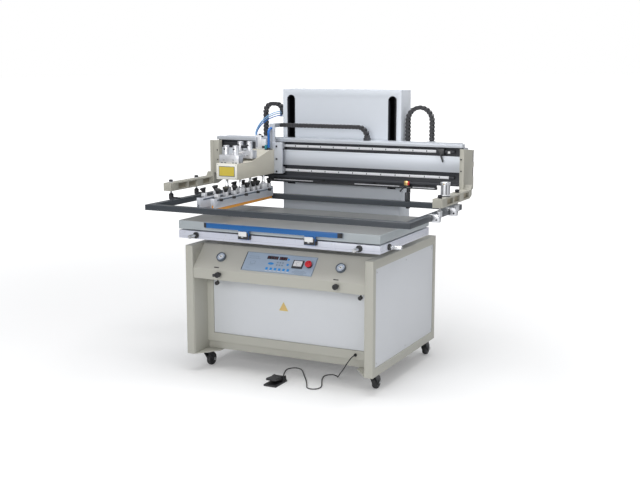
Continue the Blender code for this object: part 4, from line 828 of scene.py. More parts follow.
def regulator(name):
    """A ribbed black regulator knob on its stem."""
    low, high, middle = node_box(name)
    radius = (high.x - low.x) / 2
    reach = high.y - low.y
    shares = [(0.6, 0.0), (0.6, 0.3), (0.92, 0.34), (1.0, 0.42), (1.0, 0.9), (0.88, 1.0), (0.5, 1.0),
              (0.45, 0.95)]
    at = (middle.x, high.y, middle.z)
    knob = turned(scaled(shares, radius, reach), at, FORWARD, "black_plastic", 32)
    rib = block((-0.0006, -reach * 0.86, radius * 0.9), (0.0006, -reach * 0.46, radius * 0.995),
                "black_plastic", 0.0002, 1)
    ribs = spread(rib, [put(*at) @ spin(i * 20, "Y") for i in range(18)])
    piece = joined(name + "_knob", [knob] + ribs, "base")
    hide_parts(name)


def console_details(slope):
    """The slots under the gauges drawn as black blocks of painted shade, the small knobs under the rail and
    the cheek plates beside the slope.
    """
    slots = []
    # The slots are drawn as raised black blocks: painted shade standing in for the openings.
    for x, y in ((-0.372, -0.0585), (0.347, -0.0625)):
        slots.append(block((x - 0.015, y - 0.0026, -0.0015), (x + 0.015, y + 0.0026, 0.0012), "black_plastic",
                           0.0006))
    moved(joined("gauge_slot_painted_shade", slots, "base"), slope @ put(0, 0, -PANEL_FACE))
    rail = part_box("console")[0].z
    rings = [(0.0055, 0.0), (0.0055, 0.006), (0.01, 0.008), (0.0112, 0.012), (0.0112, 0.024), (0.0095, 0.027),
             (0.005, 0.027), (0.0045, 0.026)]
    knobs = []
    for x in (-0.369, 0.484):
        y = FRONT + 0.022
        knobs.append(rod((x, y, 0.517), (x, y, rail - SEAT), 0.004, "black_plastic", 16))
        knobs.append(turned(rings, (x, y + 0.009, 0.517), FORWARD, "black_plastic", 28))
    low, _, middle = node_box("left_regulator")
    knobs.append(rod((middle.x, low.y + 0.012, middle.z), (middle.x - 0.026, low.y + 0.006, middle.z - 0.004),
                     0.0085, "black_plastic", 20))
    joined("rail_knobs", knobs, "base")
    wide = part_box("console")[1].x
    cheeks = []
    for at in (-wide - 0.0014, wide + 0.0014):
        cheeks.append(block((at - 0.0008, FRONT + 0.034, 0.54), (at + 0.0008, FRONT + 0.236, 0.7145),
                            "cream_paint", 0.0004, 1))
    joined("console_cheeks", cheeks, "base")


def panel_screws():
    """Screws round the side panels and the rear wall."""
    parts = []
    for side, name in ((-1, "left_side_panel"), (1, "right_side_panel")):
        low, high, middle = node_box(name)
        face = high.x if side > 0 else low.x
        places = [(face, y, z) for y in (low.y + 0.02, middle.y, high.y - 0.02)
                  for z in (low.z + 0.02, high.z - 0.02)]
        parts += screws(places, (side, 0, 0), 0.0045, "zinc", 0.0022)
    low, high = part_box("rear_wall")
    places = [(x, high.y, z) for x in (low.x + 0.02, -0.25, 0.25, high.x - 0.02)
              for z in (low.z + 0.02, high.z - 0.02)]
    joined("panel_screws", parts + screws(places, (0, 1, 0), 0.0045, "zinc", 0.0022), "base")


def warning_place():
    """The plain yellow triangle on the front panel, without a symbol."""
    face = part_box("recess_panel")[0].y
    reach = 0.032
    plate = turned([(reach, 0.0), (reach, 0.0008), (reach - 0.0006, 0.0011)], ORIGIN, UP, "yellow_plate", 3)
    border = turned([(reach - 0.004, 0.0011), (reach - 0.004, 0.0013)], ORIGIN, UP, "brass", 3)
    piece = joined("front_triangle", [plate, border], "base")
    stand = Matrix(((-1, 0, 0, 0), (0, 0, -1, 0), (0, -1, 0, 0), (0, 0, 0, 1)))
    moved(piece, put(-0.03, face, 0.385) @ stand)


def base_cabinet():
    for name in ("left_side_frame", "right_side_frame"):
        finished(name, "cream_paint", 0.003, 3)
    for name in ("left_side_panel", "right_side_panel", "recess_panel"):
        finished(name, "white_panel", 0.001, 2)
    console = finished("console", "cream_paint", 0.0024, 3, 28.0)
    # The upward-facing slope faces get a lighter cream, painted light for the light falling on them.
    paint_faces(console, "slope_painted_light", lambda face: face.normal.y < -0.3 and face.normal.z > 0.3)
    finished("recess_frame", "cream_paint", 0.0012, 2)
    finished("rear_wall", "cream_paint", 0.0015, 2)
    slope = slope_place()
    control_panel(slope)
    gauge("left_gauge", slope)
    gauge("right_gauge", slope)
    emergency_stop(slope)
    regulator("left_regulator")
    regulator("right_regulator")
    console_details(slope)
    panel_screws()
    warning_place()


# Casters

def caster(word):
    """Wheel with tread and hub, and the fork's swivel race and axle nuts."""
    low, high, middle = node_box(word + "_wheel")
    radius = (high.z - low.z) / 2
    half = (high.x - low.x) / 2
    shares = [(0.62, 0.0), (0.8, 0.0), (0.93, 0.1), (0.985, 0.42), (1.0, 0.8)]
    shares += [(wide, 2.0 - far) for wide, far in shares[::-1]]
    parts = [turned(scaled(shares, radius, half), (low.x, middle.y, middle.z), (1, 0, 0), "wheel_rubber", 56)]
    hub = [(radius * 0.6, 0.0), (radius * 0.6, 0.0012), (radius * 0.54, 0.0016), (radius * 0.5, 0.0004),
           (radius * 0.3, 0.0004), (radius * 0.26, 0.0026), (radius * 0.17, 0.003)]
    nuts = []
    for side in (-1, 1):
        x = middle.x + side * (half - 0.0006)
        parts.append(turned(hub, (x, middle.y, middle.z), (side, 0, 0), "black_plastic", 40))
        nuts.append(turned([(0.0095, -0.001), (0.0095, 0.0034), (0.008, 0.0042)],
                           (middle.x + side * 0.0222, middle.y, middle.z), (side, 0, 0), "zinc", 6))
    wheel = joined(word + "_tyre", parts, BODY_OF[word + "_wheel"])
    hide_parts(word + "_wheel")
    finished(word + "_fork", "black_steel", 0.0008, 2, 30.0)
    race = [(0.02, 0.0), (0.026, 0.002), (0.028, 0.006), (0.026, 0.01), (0.02, 0.012)]
    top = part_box(word + "_fork")[1].z
    nuts.append(turned(race, (middle.x, middle.y - 0.042, top - 0.018), UP, "zinc", 32))
    joined(word + "_nuts", nuts, BODY_OF[word + "_fork"])


# Column

def column():
    """The slotted shell, painted black inside as painted shade, with its guide rods and the screwed cover set
    in its back.
    """
    shell = finished("column", "column_paint", 0.004, 4, 30.0)
    low, high, centre = node_box("column")
    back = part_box("guide_rods")[0].y + 0.115
    front = back - 0.147
    half = 0.379

    def inside(face):
        x, y, z = face.center
        within = abs(x) < half - 0.0035 and low.z + 0.0001 < z < high.z - 0.0035
        return within and front + 0.0003 < y < back - 0.0035
    # The shell's inner faces, seen through the slots, are painted black as painted shade.
    paint_faces(shell, "channel_black", inside)
    finished("guide_rods", "black_steel", 0.0008, 2, 30.0)
    strips = [x + side for x in (-0.3245, 0.3245) for side in (-0.0235, 0.0235)]
    # Thin black strips at the slot sides: painted shade, so the slots read fully dark.
    shade_strips = blocks(*[((x - 0.0015, front + 0.0045, 0.985), (x + 0.0015, front + 0.024, 1.487),
                       "channel_black", 0.0005, 1) for x in strips])
    joined("slot_shade_strips", shade_strips, "base")
    choose(shell)
    for face in shell.data.polygons:
        face.select = face.normal.y > 0.99 and face.center.y > back - 0.0004 and face.area > 0.1
    bpy.ops.object.mode_set(mode="EDIT")
    bpy.ops.mesh.inset(thickness=0.012)
    bpy.ops.mesh.inset(thickness=0.0008)
    bpy.ops.transform.translate(value=(0, -0.002, 0))
    bpy.ops.object.mode_set(mode="OBJECT")
    places = [(x, back - 0.002, z) for x in (-0.352, -0.117, 0.117, 0.352)
              for z in (low.z + 0.03, centre.z, high.z - 0.03)]
    joined("column_back_screws", screws(places, (0, 1, 0), 0.0052, "zinc", 0.0018), "base")


# Table

def table():
    """The slab, the band with its faint groove, the blue bar on its two switch boxes, and the knobs."""
    slab = finished("table_top", "slab_edge", 0.0012, 2, 32.0)
    paint_faces(slab, "table_sheet", lambda face: face.normal.z > 0.95)
    finished("table_band", "band_white", 0.0012, 2, 32.0)
    finished("cross_slide", "zinc", 0.001, 2, 32.0)
    low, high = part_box("table_band")
    grooves = (((low.x + 0.004, low.y - 0.0002, 0.7668), (high.x - 0.004, low.y + 0.001, 0.7678)),
               ((high.x - 0.001, low.y + 0.004, 0.7668), (high.x + 0.0002, high.y - 0.004, 0.7678)))
    parts = [block(start, end, "band_line") for start, end in grooves]
    places = [(x, low.y, 0.7865) for x in (-0.56, -0.3, 0.05, 0.33, 0.56)]
    parts += screws(places, FORWARD, 0.003, "zinc", 0.001)
    joined("band_grooves", parts, BODY_OF["table_band"])
    bar = finished("safety_bar", "blue_paint", 0.002, 3, 30.0)
    low, high, middle = node_box("safety_bar")
    tip = (high.x - low.x) / 2 - 0.02
    paint_faces(bar, "black_plastic", lambda face: abs(face.center.x - middle.x) > tip)
    covers = []
    face = low.y
    for x in (-0.175, 0.217):
        covers += blocks(
            ((x - 0.03, face - 0.0008, 0.7785), (x + 0.03, face + 0.0022, 0.813), "black_plastic", 0.0008),
            ((x - 0.0275, face - 0.0034, 0.794), (x + 0.0215, face + 0.0008, 0.82), "meter_white", 0.0016),
            ((x - 0.01, face - 0.0038, 0.788), (x + 0.002, face - 0.003, 0.7935), "zinc", 0.0006))
        for edge in (x - 0.032, x + 0.032):
            covers.append(block((edge - 0.0013, face + 0.0022, 0.7765), (edge + 0.0013, face + 0.027, 0.798),
                                "black_plastic", 0.0006))
    joined("switch_covers", covers, BODY_OF["safety_bar"])
    for name in ("front_left_knob", "front_right_knob", "right_side_knob"):
        register_knob(name)


def register_knob(name):
    """A micrometer knob with a black ring, a plain sleeve and a ribbed thimble."""
    low, high, middle = node_box(name)
    sideways = name == "right_side_knob"
    axis = Vector((1, 0, 0)) if sideways else Vector(FORWARD)
    start = Vector((low.x, middle.y, middle.z)) if sideways else Vector((middle.x, high.y, middle.z))
    ring = [(0.016, 0.0), (0.017, 0.001), (0.017, 0.009), (0.016, 0.01), (0.011, 0.0105)]
    sleeve = [(0.0078, 0.01), (0.0078, 0.03)]
    thimble = [(0.0098, 0.028), (0.0105, 0.03), (0.0105, 0.07), (0.0095, 0.072), (0.005, 0.072),
               (0.0045, 0.0712)]
    parts = [turned(ring, start, axis, "black_plastic", 36), turned(sleeve, start, axis, "round_steel", 32),
             turned(thimble, start, axis, "round_steel", 36)]
    ridge = block((-0.0005, -0.0005, 0.034), (0.0005, 0.0005, 0.064), "polished_steel")
    place = put(*start) @ axis.to_track_quat("Z", "Y").to_matrix().to_4x4()
    parts += spread(ridge, [place @ spin(i * 18) @ put(0.01, 0) for i in range(20)])
    piece = joined(name + "_thimble", parts, BODY_OF[name])
    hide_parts(name)


# Beam

def divided(piece, *places):
    """Cuts a piece's faces across at places along the machine."""
    for x in places:
        choose(piece)
        bpy.ops.object.mode_set(mode="EDIT")
        bpy.ops.mesh.select_all(action="SELECT")
        bpy.ops.mesh.bisect(plane_co=(x, 0, 0), plane_no=(1, 0, 0))
        bpy.ops.object.mode_set(mode="OBJECT")


def beam():
    body = finished("beam", "beam_silver", 0.001, 2, 32.0)
    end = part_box("beam")[1].x
    front = FRONT + 0.7
    floor_y = front + 0.022

    def dark(face):
        inside = front + 0.0006 < face.center.y < floor_y + 0.001
        channel = 1.0435 < face.center.z < 1.1085 or 1.1935 < face.center.z < 1.2435
        skirt = face.center.z < 1.046 and face.center.y < FRONT + 0.7995
        return (inside and channel) or skirt
    paint_faces(body, "channel_black", dark)
    lips = []
    for z, rise in ((1.252, 0.0007), (1.187, 0.0006), (1.115, 0.0006)):
        lips.append(block((-end + 0.001, front - 0.0005, z - rise), (end - 0.001, front + 0.0004, z + rise),
                          "zinc"))
    joined("beam_edge_lines", lips, "beam")
    rail("upper_rail", -0.545, 0.628)
    rail("lower_rail", -0.545, 0.704)
    trough()
    finished("stroke_stop", "black_steel", 0.001, 2)
    badge = block((0.6965, front + 0.004, 1.209), (0.7095, front + 0.0062, 1.2215), "meter_white", 0.0005, 1)
    joined("rail_end_mark", [badge], "beam")
    finished("frame_hanger", "black_steel", 0.0012, 2)
    hanger()
    for name in ("left_end_casting", "right_end_casting"):
        end_casting(name)
    casting_details(end)


def rail(name, left, right):
    """A rail, white between its two bearings and black past them as painted shade, with a line and its marks.
    """
    piece = finished(name, "cast_white", 0.001, 2, 32.0)
    divided(piece, left, right)
    # Past the bearings the rail is painted black: painted shade where it lies in shadow.
    paint_faces(piece, "channel_black", lambda face: not left < face.center.x < right)
    low, _, middle = node_box(name)
    parts = [block((left, low.y - 0.0002, low.z + 0.0016), (right, low.y + 0.0006, low.z + 0.0026), "zinc")]
    for i in range(14):
        x = left + 0.055 + i * (right - left - 0.11) / 13
        parts.append(block((x - 0.0024, low.y - 0.0003, middle.z - 0.0052),
                           (x + 0.0024, low.y + 0.0006, middle.z + 0.0052), "channel_black", 0.0006, 1))
    joined(name + "_marks", parts, "beam")


def trough():
    finished("cable_trough", "black_steel", 0.0008, 2)
    low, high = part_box("cable_trough")
    strips = [block((low.x + 0.002, low.y + 0.004, 1.008), (high.x - 0.002, high.y - 0.004, 1.0306),
                    "channel_black", 0.0004, 1)]
    # Thin white strips along the trough's front edge are painted highlights standing in for reflections.
    for left, right, z in ((-0.407, -0.147, 1.013), (0.121, 0.4, 1.011), (0.48, 0.61, 1.009)):
        strips.append(block((left, low.y - 0.0006, z - 0.0024), (right, low.y + 0.0006, z + 0.0024),
                            "cast_white", 0.0004, 1))
    joined("trough_dark_strip_and_painted_highlights", strips, "beam")


def end_casting(name):
    """The cast plate with its arm, the pockets of the arm painted darker inside as painted shade."""
    piece = finished(name, "cast_cream", 0.0018, 3, 30.0)
    inner, outer = 0.79 + 0.0022, 0.843 - 0.0022

    def pocket(face):
        middle = face.center
        along = FRONT + 0.22 < middle.y < FRONT + 0.65 and 0.98 < middle.z < 1.016
        return along and inner < abs(middle.x) < outer and abs(face.normal.x) > 0.8
    # The inner faces of the arm's pockets get a darker brown, painted shade in the recesses.
    paint_faces(piece, "pocket_painted_shade", pocket)


def hanger():
    """The gold block, the small lever and the loop foot on the frame hook."""
    _, high, middle = node_box("frame_hanger")
    x = middle.x
    y = FRONT + 0.687
    foot = high.y - 0.008
    parts = blocks(((x - 0.012, y, 1.023), (x + 0.009, y + 0.0126, 1.049), "brass", 0.0015),
                   ((x + 0.009, y + 0.001, 1.026), (x + 0.017, y + 0.012, 1.047), "stop_red", 0.001))
    parts += [rod((x - 0.008, y + 0.006, 1.021), (x - 0.036, y + 0.002, 0.987), 0.0044, "channel_black", 16),
              rod((x - 0.012, y + 0.008, 1.006), (x - 0.027, y + 0.005, 0.978), 0.0016, "polished_steel", 12),
              turned([(0.0085, 0.0), (0.0115, 0.01), (0.0115, 0.044), (0.009, 0.052)], (x, foot, 0.97), UP,
                     "black_steel", 24)]
    ring = [(0.0112, 0.0), (0.012, 0.001), (0.012, 0.003), (0.0112, 0.004)]
    parts += [turned(ring, (x, foot, z), UP, "zinc", 24) for z in (0.979, 1.008)]
    joined("hanger_fittings", parts, "beam")


def casting_details(end):
    """Front screws of both castings and the left casting's flange over the beam's end."""
    places = [(x, FRONT + 0.66, z) for x, z in
              ((0.788, 1.183), (0.789, 1.12), (-0.7526, 1.181), (-0.751, 1.123))]
    parts = screws(places, FORWARD, 0.0042, "black_steel", 0.003)
    for left, right in ((-0.8028, -0.7815), (0.7815, 0.8028)):
        for low, high in ((1.078, 1.129), (1.157, 1.215)):
            parts.append(block((left, FRONT + 0.818, low + 0.0003), (right, FRONT + 0.8315, high - 0.0003),
                               "channel_black", 0.0005, 1))
    parts.append(block((-end + 0.0004, FRONT + 0.6602, 1.044), (-end + 0.037, FRONT + 0.6996, 1.239),
                       "cast_cream", 0.0016))
    joined("casting_flange", parts, "beam")


def frame_clamp(name, side):
    """A domed knob over the arm, its chrome screw, the turned body and the jaw at the frame's tube."""
    low, high, middle = node_box(name)
    x = side * 0.8167
    y = middle.y
    left = side < 0
    body, hard = ("black_plastic", "black_steel") if left else ("cast_silver", "zinc")
    knob = [(0.009, 0.0), (0.0117, 0.0025), (0.0119, 0.008), (0.01, 0.0115), (0.004, 0.0128)]
    washer = [(0.0105, 0.0), (0.0118, 0.001), (0.0118, 0.004), (0.0105, 0.0048)]
    barrel = [(0.011, 0.0), (0.0138, 0.002), (0.0138, 0.029), (0.0115, 0.032), (0.007, 0.033)]
    nut = [(0.0062, 0.0), (0.0062, 0.0032), (0.0052, 0.004)]
    parts = [turned(knob, (x, y, 1.0262), UP, "black_plastic", 28),
             turned(washer, (x, y, 1.0214), UP, "cast_white" if left else "black_plastic", 28),
             turned(barrel, (x, y, 0.925), UP, body, 28),
             rod((x, y, 0.92), (x, y, 1.024), 0.0052, "round_steel", 20),
             turned([(0.008, 0.0), (0.008, 0.004)], (x, y, 0.9582), UP, hard, 6)]
    inner = high.x if left else low.x
    face = side * 0.7803
    bolt = side * 0.8205
    lap = face + side * 0.002
    jaws = ((face, bolt, 0.0128, 0.8969, 0.938, body, 0.002),
            (inner, lap, 0.0108, 0.9334, 0.9372, hard, 0.0008),
            (side * 0.7652, lap, 0.0108, 0.898, 0.9016, hard, 0.0008))
    for start, end, half, bottom, top, finish, edge in jaws:
        start, end = sorted((start, end))
        parts.append(block((start, y - half, bottom), (end, y + half, top), finish, edge))
    parts.append(turned(nut, (bolt, y, 0.92), (side, 0, 0), "zinc", 6))
    x -= side * 0.012
    parts.append(rod((x, y - 0.0126, 0.9105), (x, y - 0.0185, 0.9105), 0.0042,
                     "zinc" if left else "channel_black", 16))
    piece = joined(name + "_body", parts, BODY_OF[name])
    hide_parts(name)


def arm_fittings():
    """The four frame clamps, and the arm cylinder with its caps, grooves and port."""
    for side, word in ((-1, "left"), (1, "right")):
        for row in ("front", "rear"):
            frame_clamp(word + "_" + row + "_clamp", side)
    low, high, middle = node_box("arm_cylinder")
    radius = (high.x - low.x) / 2 + 0.002
    foot = (middle.x, middle.y, low.z)
    rings = [(0.94, 0.0), (1.0, 0.001), (1.0, 0.009), (0.95, 0.0102), (0.95, 0.0618), (1.0, 0.063),
             (1.0, 0.0725), (0.95, 0.0738), (0.5, 0.0738), (0.42, 0.0724)]
    parts = [turned(scaled(rings, radius), foot, UP, "cast_silver", 48)]
    groove = block((radius * 0.94, -0.0018, 0.011), (radius * 0.965, 0.0018, 0.0605), "channel_black", 0.0004,
                   1)
    parts += spread(groove, [put(*foot) @ spin(angle) for angle in (-20, -62, -104, -150, 70, 160)])
    rings = [(0.96, 0.0), (1.01, 0.001), (1.01, 0.004), (0.96, 0.005)]
    parts.append(turned(scaled(rings, radius), foot, UP, "black_steel", 48))
    port = low.z + 0.066
    parts.append(rod((middle.x, low.y + 0.003, port), (middle.x, low.y - 0.005, port), 0.0035, "brass", 16))
    piece = joined("arm_air_cylinder", parts, "beam")
    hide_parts("arm_cylinder")


# Screen frame

def screen_frame():
    """The painted tube frame with the ground seam on each mitre."""
    finished("screen_frame", "slate_frame", 0.002, 3)
    low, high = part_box("screen_frame")
    reach = 0.048
    parts = []
    for x, side in ((low.x, 1), (high.x, -1)):
        for y, way in ((low.y, 1), (high.y, -1)):
            seam = block((0.004, -0.0006, high.z - 0.0004), (reach, 0.0006, high.z + 0.0002), "black_steel")
            turn = Matrix.Rotation(atan2(way, side), 4, "Z")
            parts.append(moved(seam, put(x, y, 0) @ turn))
    joined("frame_corner_seams", parts, BODY_OF["screen_frame"])


# Carriage and print head

HEAD_X = -0.426


def carriage():
    """The carriage plate with its screws, and the white block with its lever behind the head."""
    finished("carriage_plate", "beam_silver", 0.0015, 2, 32.0)
    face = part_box("carriage_plate")[0].y
    places = [(HEAD_X + 0.083, face, z) for z in (1.0694, 1.1425, 1.2165)]
    parts = screws(places, FORWARD, 0.006, "black_steel", 0.0046)
    joined("carriage_screws", parts, "carriage")
    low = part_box("head_housing")[1].z + SEAT
    valve = blocks(
        ((-0.471, face - 0.024, low), (-0.433, face - 0.001, low + 0.082), "cast_white", 0.002),
        ((-0.433, face - 0.022, low), (-0.405, face - 0.003, low + 0.06), "cast_white", 0.002),
        ((-0.468, face - 0.0252, low + 0.01), (-0.456, face - 0.0236, low + 0.07), "band_line", 0.0005, 1),
        ((-0.429, face - 0.0232, low + 0.006), (-0.409, face - 0.0216, low + 0.02),
         "channel_black", 0.0005, 1),
        ((-0.5425, face - 0.0008, low), (-0.4715, face + 0.0002, low + 0.0415), "channel_black", 0.0003, 1))
    lever = rod((-0.456, face - 0.01, low + 0.088), (-0.423, face - 0.02, low + 0.074), 0.0042,
                "black_plastic", 16)
    cap = turned([(0.0055, 0.0), (0.0062, 0.001), (0.0062, 0.007), (0.005, 0.008)],
                 (-0.444, face - 0.012, low + 0.0815), UP, "black_plastic", 20)
    joined("carriage_valve", valve + [lever, cap], "carriage")


def head():
    """The head's housing with its nose plate and label, the cylinders and the two blades."""
    finished("head_housing", "head_cream", 0.0022, 3, 20.0)
    front = FRONT + 0.227
    half = 0.0665
    plate = block((HEAD_X - half + 0.0005, front - 0.0022, 1.06),
                  (HEAD_X + half - 0.0005, front + 0.0002, 1.1475), "nose_white", 0.001)
    places = [(HEAD_X + x, front - 0.0022, z) for x in (-0.058, 0.058) for z in (1.067, 1.1405)]
    parts = [plate] + screws(places, FORWARD, 0.0026, "zinc", 0.0014)
    joined("nose_plate", parts, "carriage")
    label = blocks(((HEAD_X - 0.05, front - 0.003, 1.076), (HEAD_X + 0.052, front - 0.0021, 1.133),
                    "gauge_rim", 0.0004, 1),
                   ((HEAD_X - 0.0465, front - 0.0034, 1.0795), (HEAD_X + 0.0485, front - 0.0026, 1.1295),
                    "yellow_plate", 0.0004, 1))
    joined("yellow_nose_plate", label, "carriage")
    cylinders()
    finished("squeegee_blade", "blade_rubber", 0.001, 2, 30.0)
    blade_fittings("squeegee_holder", -0.382, 1)
    blade_fittings("flood_bar", -0.47, -1)


def cylinders():
    """Four air cylinders with end caps, tie nuts, ports, speed screws and sensor strips."""
    finished("print_cylinders", "cast_silver", 0.0012, 2, 30.0)
    cap = [(0.0145, 0.0), (0.0162, 0.001), (0.0162, 0.01), (0.015, 0.0118), (0.007, 0.0118), (0.0066, 0.0112)]
    collar = [(0.0163, 0.0), (0.0163, 0.006), (0.0155, 0.0068)]
    port = [(0.0034, 0.0), (0.0034, 0.006), (0.0044, 0.0065), (0.0044, 0.0095), (0.003, 0.0105)]
    speed = [(0.0034, 0.0), (0.0034, 0.004), (0.0046, 0.0045), (0.0046, 0.008)]
    parts = []
    for y, foot, top in ((FRONT + 0.275, 1.148, 1.246), (FRONT + 0.43, 1.1624, 1.258)):
        for x in (HEAD_X - 0.03, HEAD_X + 0.03):
            parts += [turned(cap, (x, y, top - 0.012), UP, "cast_silver", 28),
                      turned(collar, (x, y, foot + 0.045), UP, "cast_silver", 28),
                      turned(port, (x, y - 0.015, top - 0.02), FORWARD, "black_plastic", 16),
                      turned(speed, (x, y - 0.0238, foot + 0.018), FORWARD, "zinc", 6)]
            for angle in (45, 135, 225, 315):
                tie = put(x, y, top - 0.0008) @ spin(angle) @ Vector((0.0125, 0, 0))
                parts.append(turned([(0.0022, 0.0), (0.0022, 0.0007)], tie, UP, "zinc", 6))
            strip = block((0.0148, -0.0016, foot + 0.003), (0.0158, 0.0016, foot + 0.042), "gauge_rim",
                          0.0004, 1)
            parts += spread(strip, [put(x, y) @ spin(angle) for angle in (-100, -52)])
    parts += blocks(((HEAD_X - 0.016, FRONT + 0.412, 1.219), (HEAD_X + 0.012, FRONT + 0.452, 1.236),
                     "channel_black", 0.002),
                    ((HEAD_X - 0.01, FRONT + 0.3, 1.1935), (HEAD_X + 0.01, FRONT + 0.4, 1.201),
                     "meter_white", 0.0025))
    for x in (-0.472, -0.45, -0.4, -0.38):
        parts.append(block((x - 0.006, FRONT + 0.25, 1.1485), (x + 0.006, FRONT + 0.2516, 1.153), "gauge_rim",
                           0.0006, 1))
    joined("cylinder_fittings", parts, "carriage")
    fits = blocks(((HEAD_X + 0.026, FRONT + 0.612, 1.1985), (HEAD_X + 0.0385, FRONT + 0.634, 1.226),
                   "teal_fitting", 0.002),
                  ((HEAD_X + 0.03, FRONT + 0.604, 1.1985), (HEAD_X + 0.064, FRONT + 0.642, 1.2025),
                   "channel_black", 0.001))
    fits.append(turned([(0.01, 0.0), (0.01, 0.008), (0.0088, 0.0088), (0.0088, 0.012)],
                       (HEAD_HOSE_X, FRONT + 0.622, 1.1984), UP, "black_plastic", 20))
    joined("head_air_block", fits, "carriage")


def blade_fittings(name, x, side):
    """A blade holder: its bar with a dark groove band, rod brackets and black clamping cones."""
    bar = finished(name, "holder_silver", 0.001, 2, 30.0)
    half = 0.011
    top = 0.98
    paint_faces(bar, "black_plastic",
                lambda face: abs(face.center.x - x) > half + 0.0004 and face.center.z < top)
    paint_faces(bar, "polished_steel", lambda face: face.center.z > top + 0.03)
    front = FRONT + 0.002
    back = FRONT + 0.658
    parts = [block((x - half - 0.0004, front + 0.03, top - 0.0165),
                   (x + half + 0.0004, back - 0.004, top - 0.008), "gauge_rim", 0.0004, 1),
             block((x - half + 0.0015, front + 0.002, top - 0.0003),
                   (x + half - 0.0015, back - 0.002, top + 0.002), "channel_black", 0.0006)]
    for y in (FRONT + 0.3, FRONT + 0.56):
        parts.append(block((x - 0.0135, y - 0.026, top), (x + 0.0135, y + 0.026, top + 0.027), "cast_white",
                           0.0018))
        parts.append(turned([(0.012, 0.0), (0.012, 0.008), (0.0105, 0.0095)], (x, y, top + 0.027), UP,
                            "cast_silver", 24))
    places = (0.051, 0.138, 0.228, 0.372, 0.44, 0.49, 0.625) if side > 0 else (0.06, 0.18, 0.39, 0.48, 0.63)
    stands = []
    for i, y in enumerate(places):
        y += FRONT
        lean = spin(side * (6 if i % 2 else 14), "Y") @ spin(8, "X")
        stands.append(put(x, y, top + 0.019) @ lean)
        parts.append(block((x - 0.012, y - 0.012, top), (x + 0.012, y + 0.012, top + 0.0215), "cast_white",
                           0.0026))
    parts += spread(clamp_cone(), stands)
    joined(name + "_clamps", parts, BODY_OF[name])


def clamp_cone():
    """A black ribbed clamping cone, wide at its top, along local Z."""
    rings = [(0.006, 0.0), (0.0085, 0.004), (0.015, 0.023), (0.017, 0.027), (0.016, 0.03), (0.006, 0.031)]
    cone = turned(rings, ORIGIN, UP, "black_plastic", 28)
    rib = block((0.0148, -0.0009, 0.0225), (0.0175, 0.0009, 0.0285), "black_plastic", 0.0003, 1)
    return joined_mesh([cone] + spread(rib, [spin(i * 30) for i in range(12)]))


# Drag chains

CHAIN_PITCH = 0.022
CHAIN_HEIGHT = 0.023
CHAIN_WIDTH = 0.034
LIFT_CHAIN_Y = 0.858
CARRIAGE_CHAIN_Y = 0.74


def chain_link():
    """One link: two stepped side plates, an upper and a lower bar, and the pin bosses."""
    half = CHAIN_WIDTH / 2
    parts = []
    for side in (-1, 1):
        edges = [side * half, side * (half - 0.003), side * (half - 0.0052)]
        for outer, inner, left, right, tall in ((edges[0], edges[1], -0.5, 0.22, 0.46),
                                                (edges[1], edges[2], 0.1, 0.52, 0.4)):
            parts.append(block((CHAIN_PITCH * left, min(outer, inner), -CHAIN_HEIGHT * tall),
                               (CHAIN_PITCH * right, max(outer, inner), CHAIN_HEIGHT * tall), "black_plastic",
                               0.0012, 1))
        parts.append(turned([(0.0034, 0.0), (0.0034, 0.0006), (0.0026, 0.0009)],
                            (-CHAIN_PITCH * 0.2, side * (half - 0.0008), 0), (0, side, 0), "black_plastic",
                            12))
    for z in (-1, 1):
        edge = z * CHAIN_HEIGHT * 0.5
        step = z * (CHAIN_HEIGHT * 0.5 - 0.0026)
        parts.append(block((-CHAIN_PITCH * 0.4, -half + 0.001, min(edge, step)),
                           (CHAIN_PITCH * 0.16, half - 0.001, max(edge, step)), "black_plastic", 0.0008, 1))
    return joined_mesh(parts)


def arc(middle, radius, start, end, count):
    return [(middle[0] + radius * cos(start + (end - start) * i / count),
             middle[1] + radius * sin(start + (end - start) * i / count)) for i in range(count + 1)]


def link_places(centre, y):
    """A matrix for each link along a centre line in the XZ plane."""
    points = [Vector((x, y, z)) for x, z in centre]
    spans = [(b - a).length for a, b in zip(points, points[1:])]
    length = sum(spans)
    count = round(length / CHAIN_PITCH)
    pitch = length / count
    found = []
    for i in range(count):
        left = (i + 0.5) * pitch
        for a, b, span in zip(points, points[1:], spans):
            if left <= span:
                break
            left -= span
        along = (b - a).normalized()
        across = Vector((0, 1, 0))
        place = axes(along, across, along.cross(across), a + along * min(left, span))
        found.append(place @ Matrix.Scale(pitch / CHAIN_PITCH, 4, (1, 0, 0)))
    return found


def chain(name, node_name, centre, y, carrier, extras=()):
    """Links along a centre line, from its fixed end to the other end, which a body carries."""
    parts = spread(chain_link(), link_places(centre, y + FRONT))
    piece = joined(name, parts + list(extras), None)
    ends = [(x, y + FRONT, centre[0][1]) for x in (centre[0][0], centre[-1][0])]
    if carrier == "carriage":
        ends.reverse()
    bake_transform(piece)
    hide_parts(node_name)


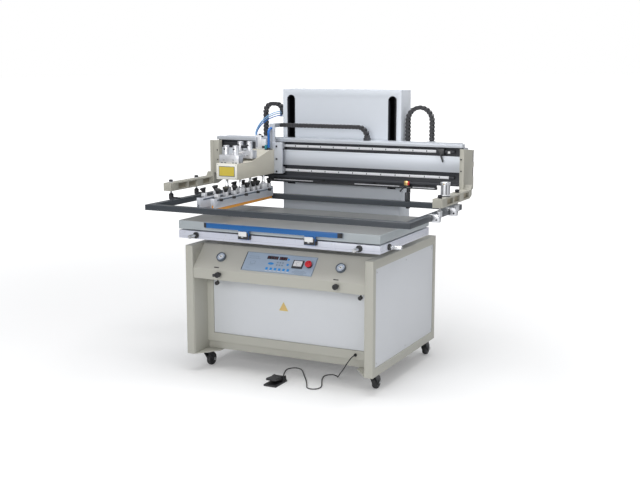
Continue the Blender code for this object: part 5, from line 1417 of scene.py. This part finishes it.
def chain_centre(side, near, far, top, bend, anchor):
    level = top - bend
    centre = [(near, anchor + SEAT)] + arc((near + bend, level), bend, pi, pi / 2, 8)
    centre += arc((far - bend, level), bend, pi / 2, 0, 8)[1 if far - near < 2 * bend + SEAT else 0:]
    centre += [(far, 1.262 + SEAT)]
    return [(side * x, z) for x, z in centre]


def drag_chains():
    left = chain_centre(-1, 0.409, 0.524, 1.456, 0.045, 1.392)
    right = chain_centre(1, 0.401, 0.546, 1.45, 0.0725, 1.2)
    chain("left_chain_links", "left_lift_chain", left, LIFT_CHAIN_Y, "beam")
    chain("right_chain_links", "right_lift_chain", right, LIFT_CHAIN_Y, "beam")
    bend = 0.056
    middle = (0.142, 1.337 - bend)
    centre = [(HEAD_X + 0.0693, 1.337)] + arc(middle, bend, pi / 2, 0, 10) + [(middle[0] + bend, 1.2703)]
    x = middle[0] + bend
    y = FRONT + CARRIAGE_CHAIN_Y
    foot = block((x - 0.016, y - 0.0173, 1.2623), (x + 0.016, y + 0.0173, 1.2783), "black_steel", 0.0015)
    chain("carriage_chain_links", "carriage_chain", centre, CARRIAGE_CHAIN_Y, "carriage", [foot])


# Foot pedal

def pedal():
    """The pedal's shell and its ribbed tread."""
    finished("pedal_base", "black_plastic", 0.0015, 2)
    finished("pedal_treadle", "black_plastic", 0.0015, 2, 28.0)
    low, high, middle = node_box("pedal_treadle")
    front = Vector((0, low.y + 0.006, high.z - 0.0007))
    back = Vector((0, high.y - 0.0245, high.z - 0.0052))
    along = (back - front).normalized()
    across = Vector((1, 0, 0))
    half = (high.x - low.x) / 2 - 0.004
    count = 10
    reach = (back - front).length
    parts = []
    for i in range(count):
        y = reach * (i + 0.5) / count
        parts.append(block((middle.x - half, y - 0.0022, -0.0008), (middle.x + half, y + 0.0022, 0.001),
                           "wheel_rubber", 0.0006, 1))
    piece = joined("tread_ribs", parts, BODY_OF["pedal_treadle"])
    moved(piece, axes(across, along, across.cross(along), front))


def main():
    camera()
    make_finishes()
    cords()
    stage()
    lights()
    base_cabinet()
    for word in ("front_left", "front_right", "rear_left", "rear_right"):
        caster(word)
    column()
    table()
    beam()
    arm_fittings()
    screen_frame()
    carriage()
    head()
    drag_chains()
    pedal()


main()
clear()
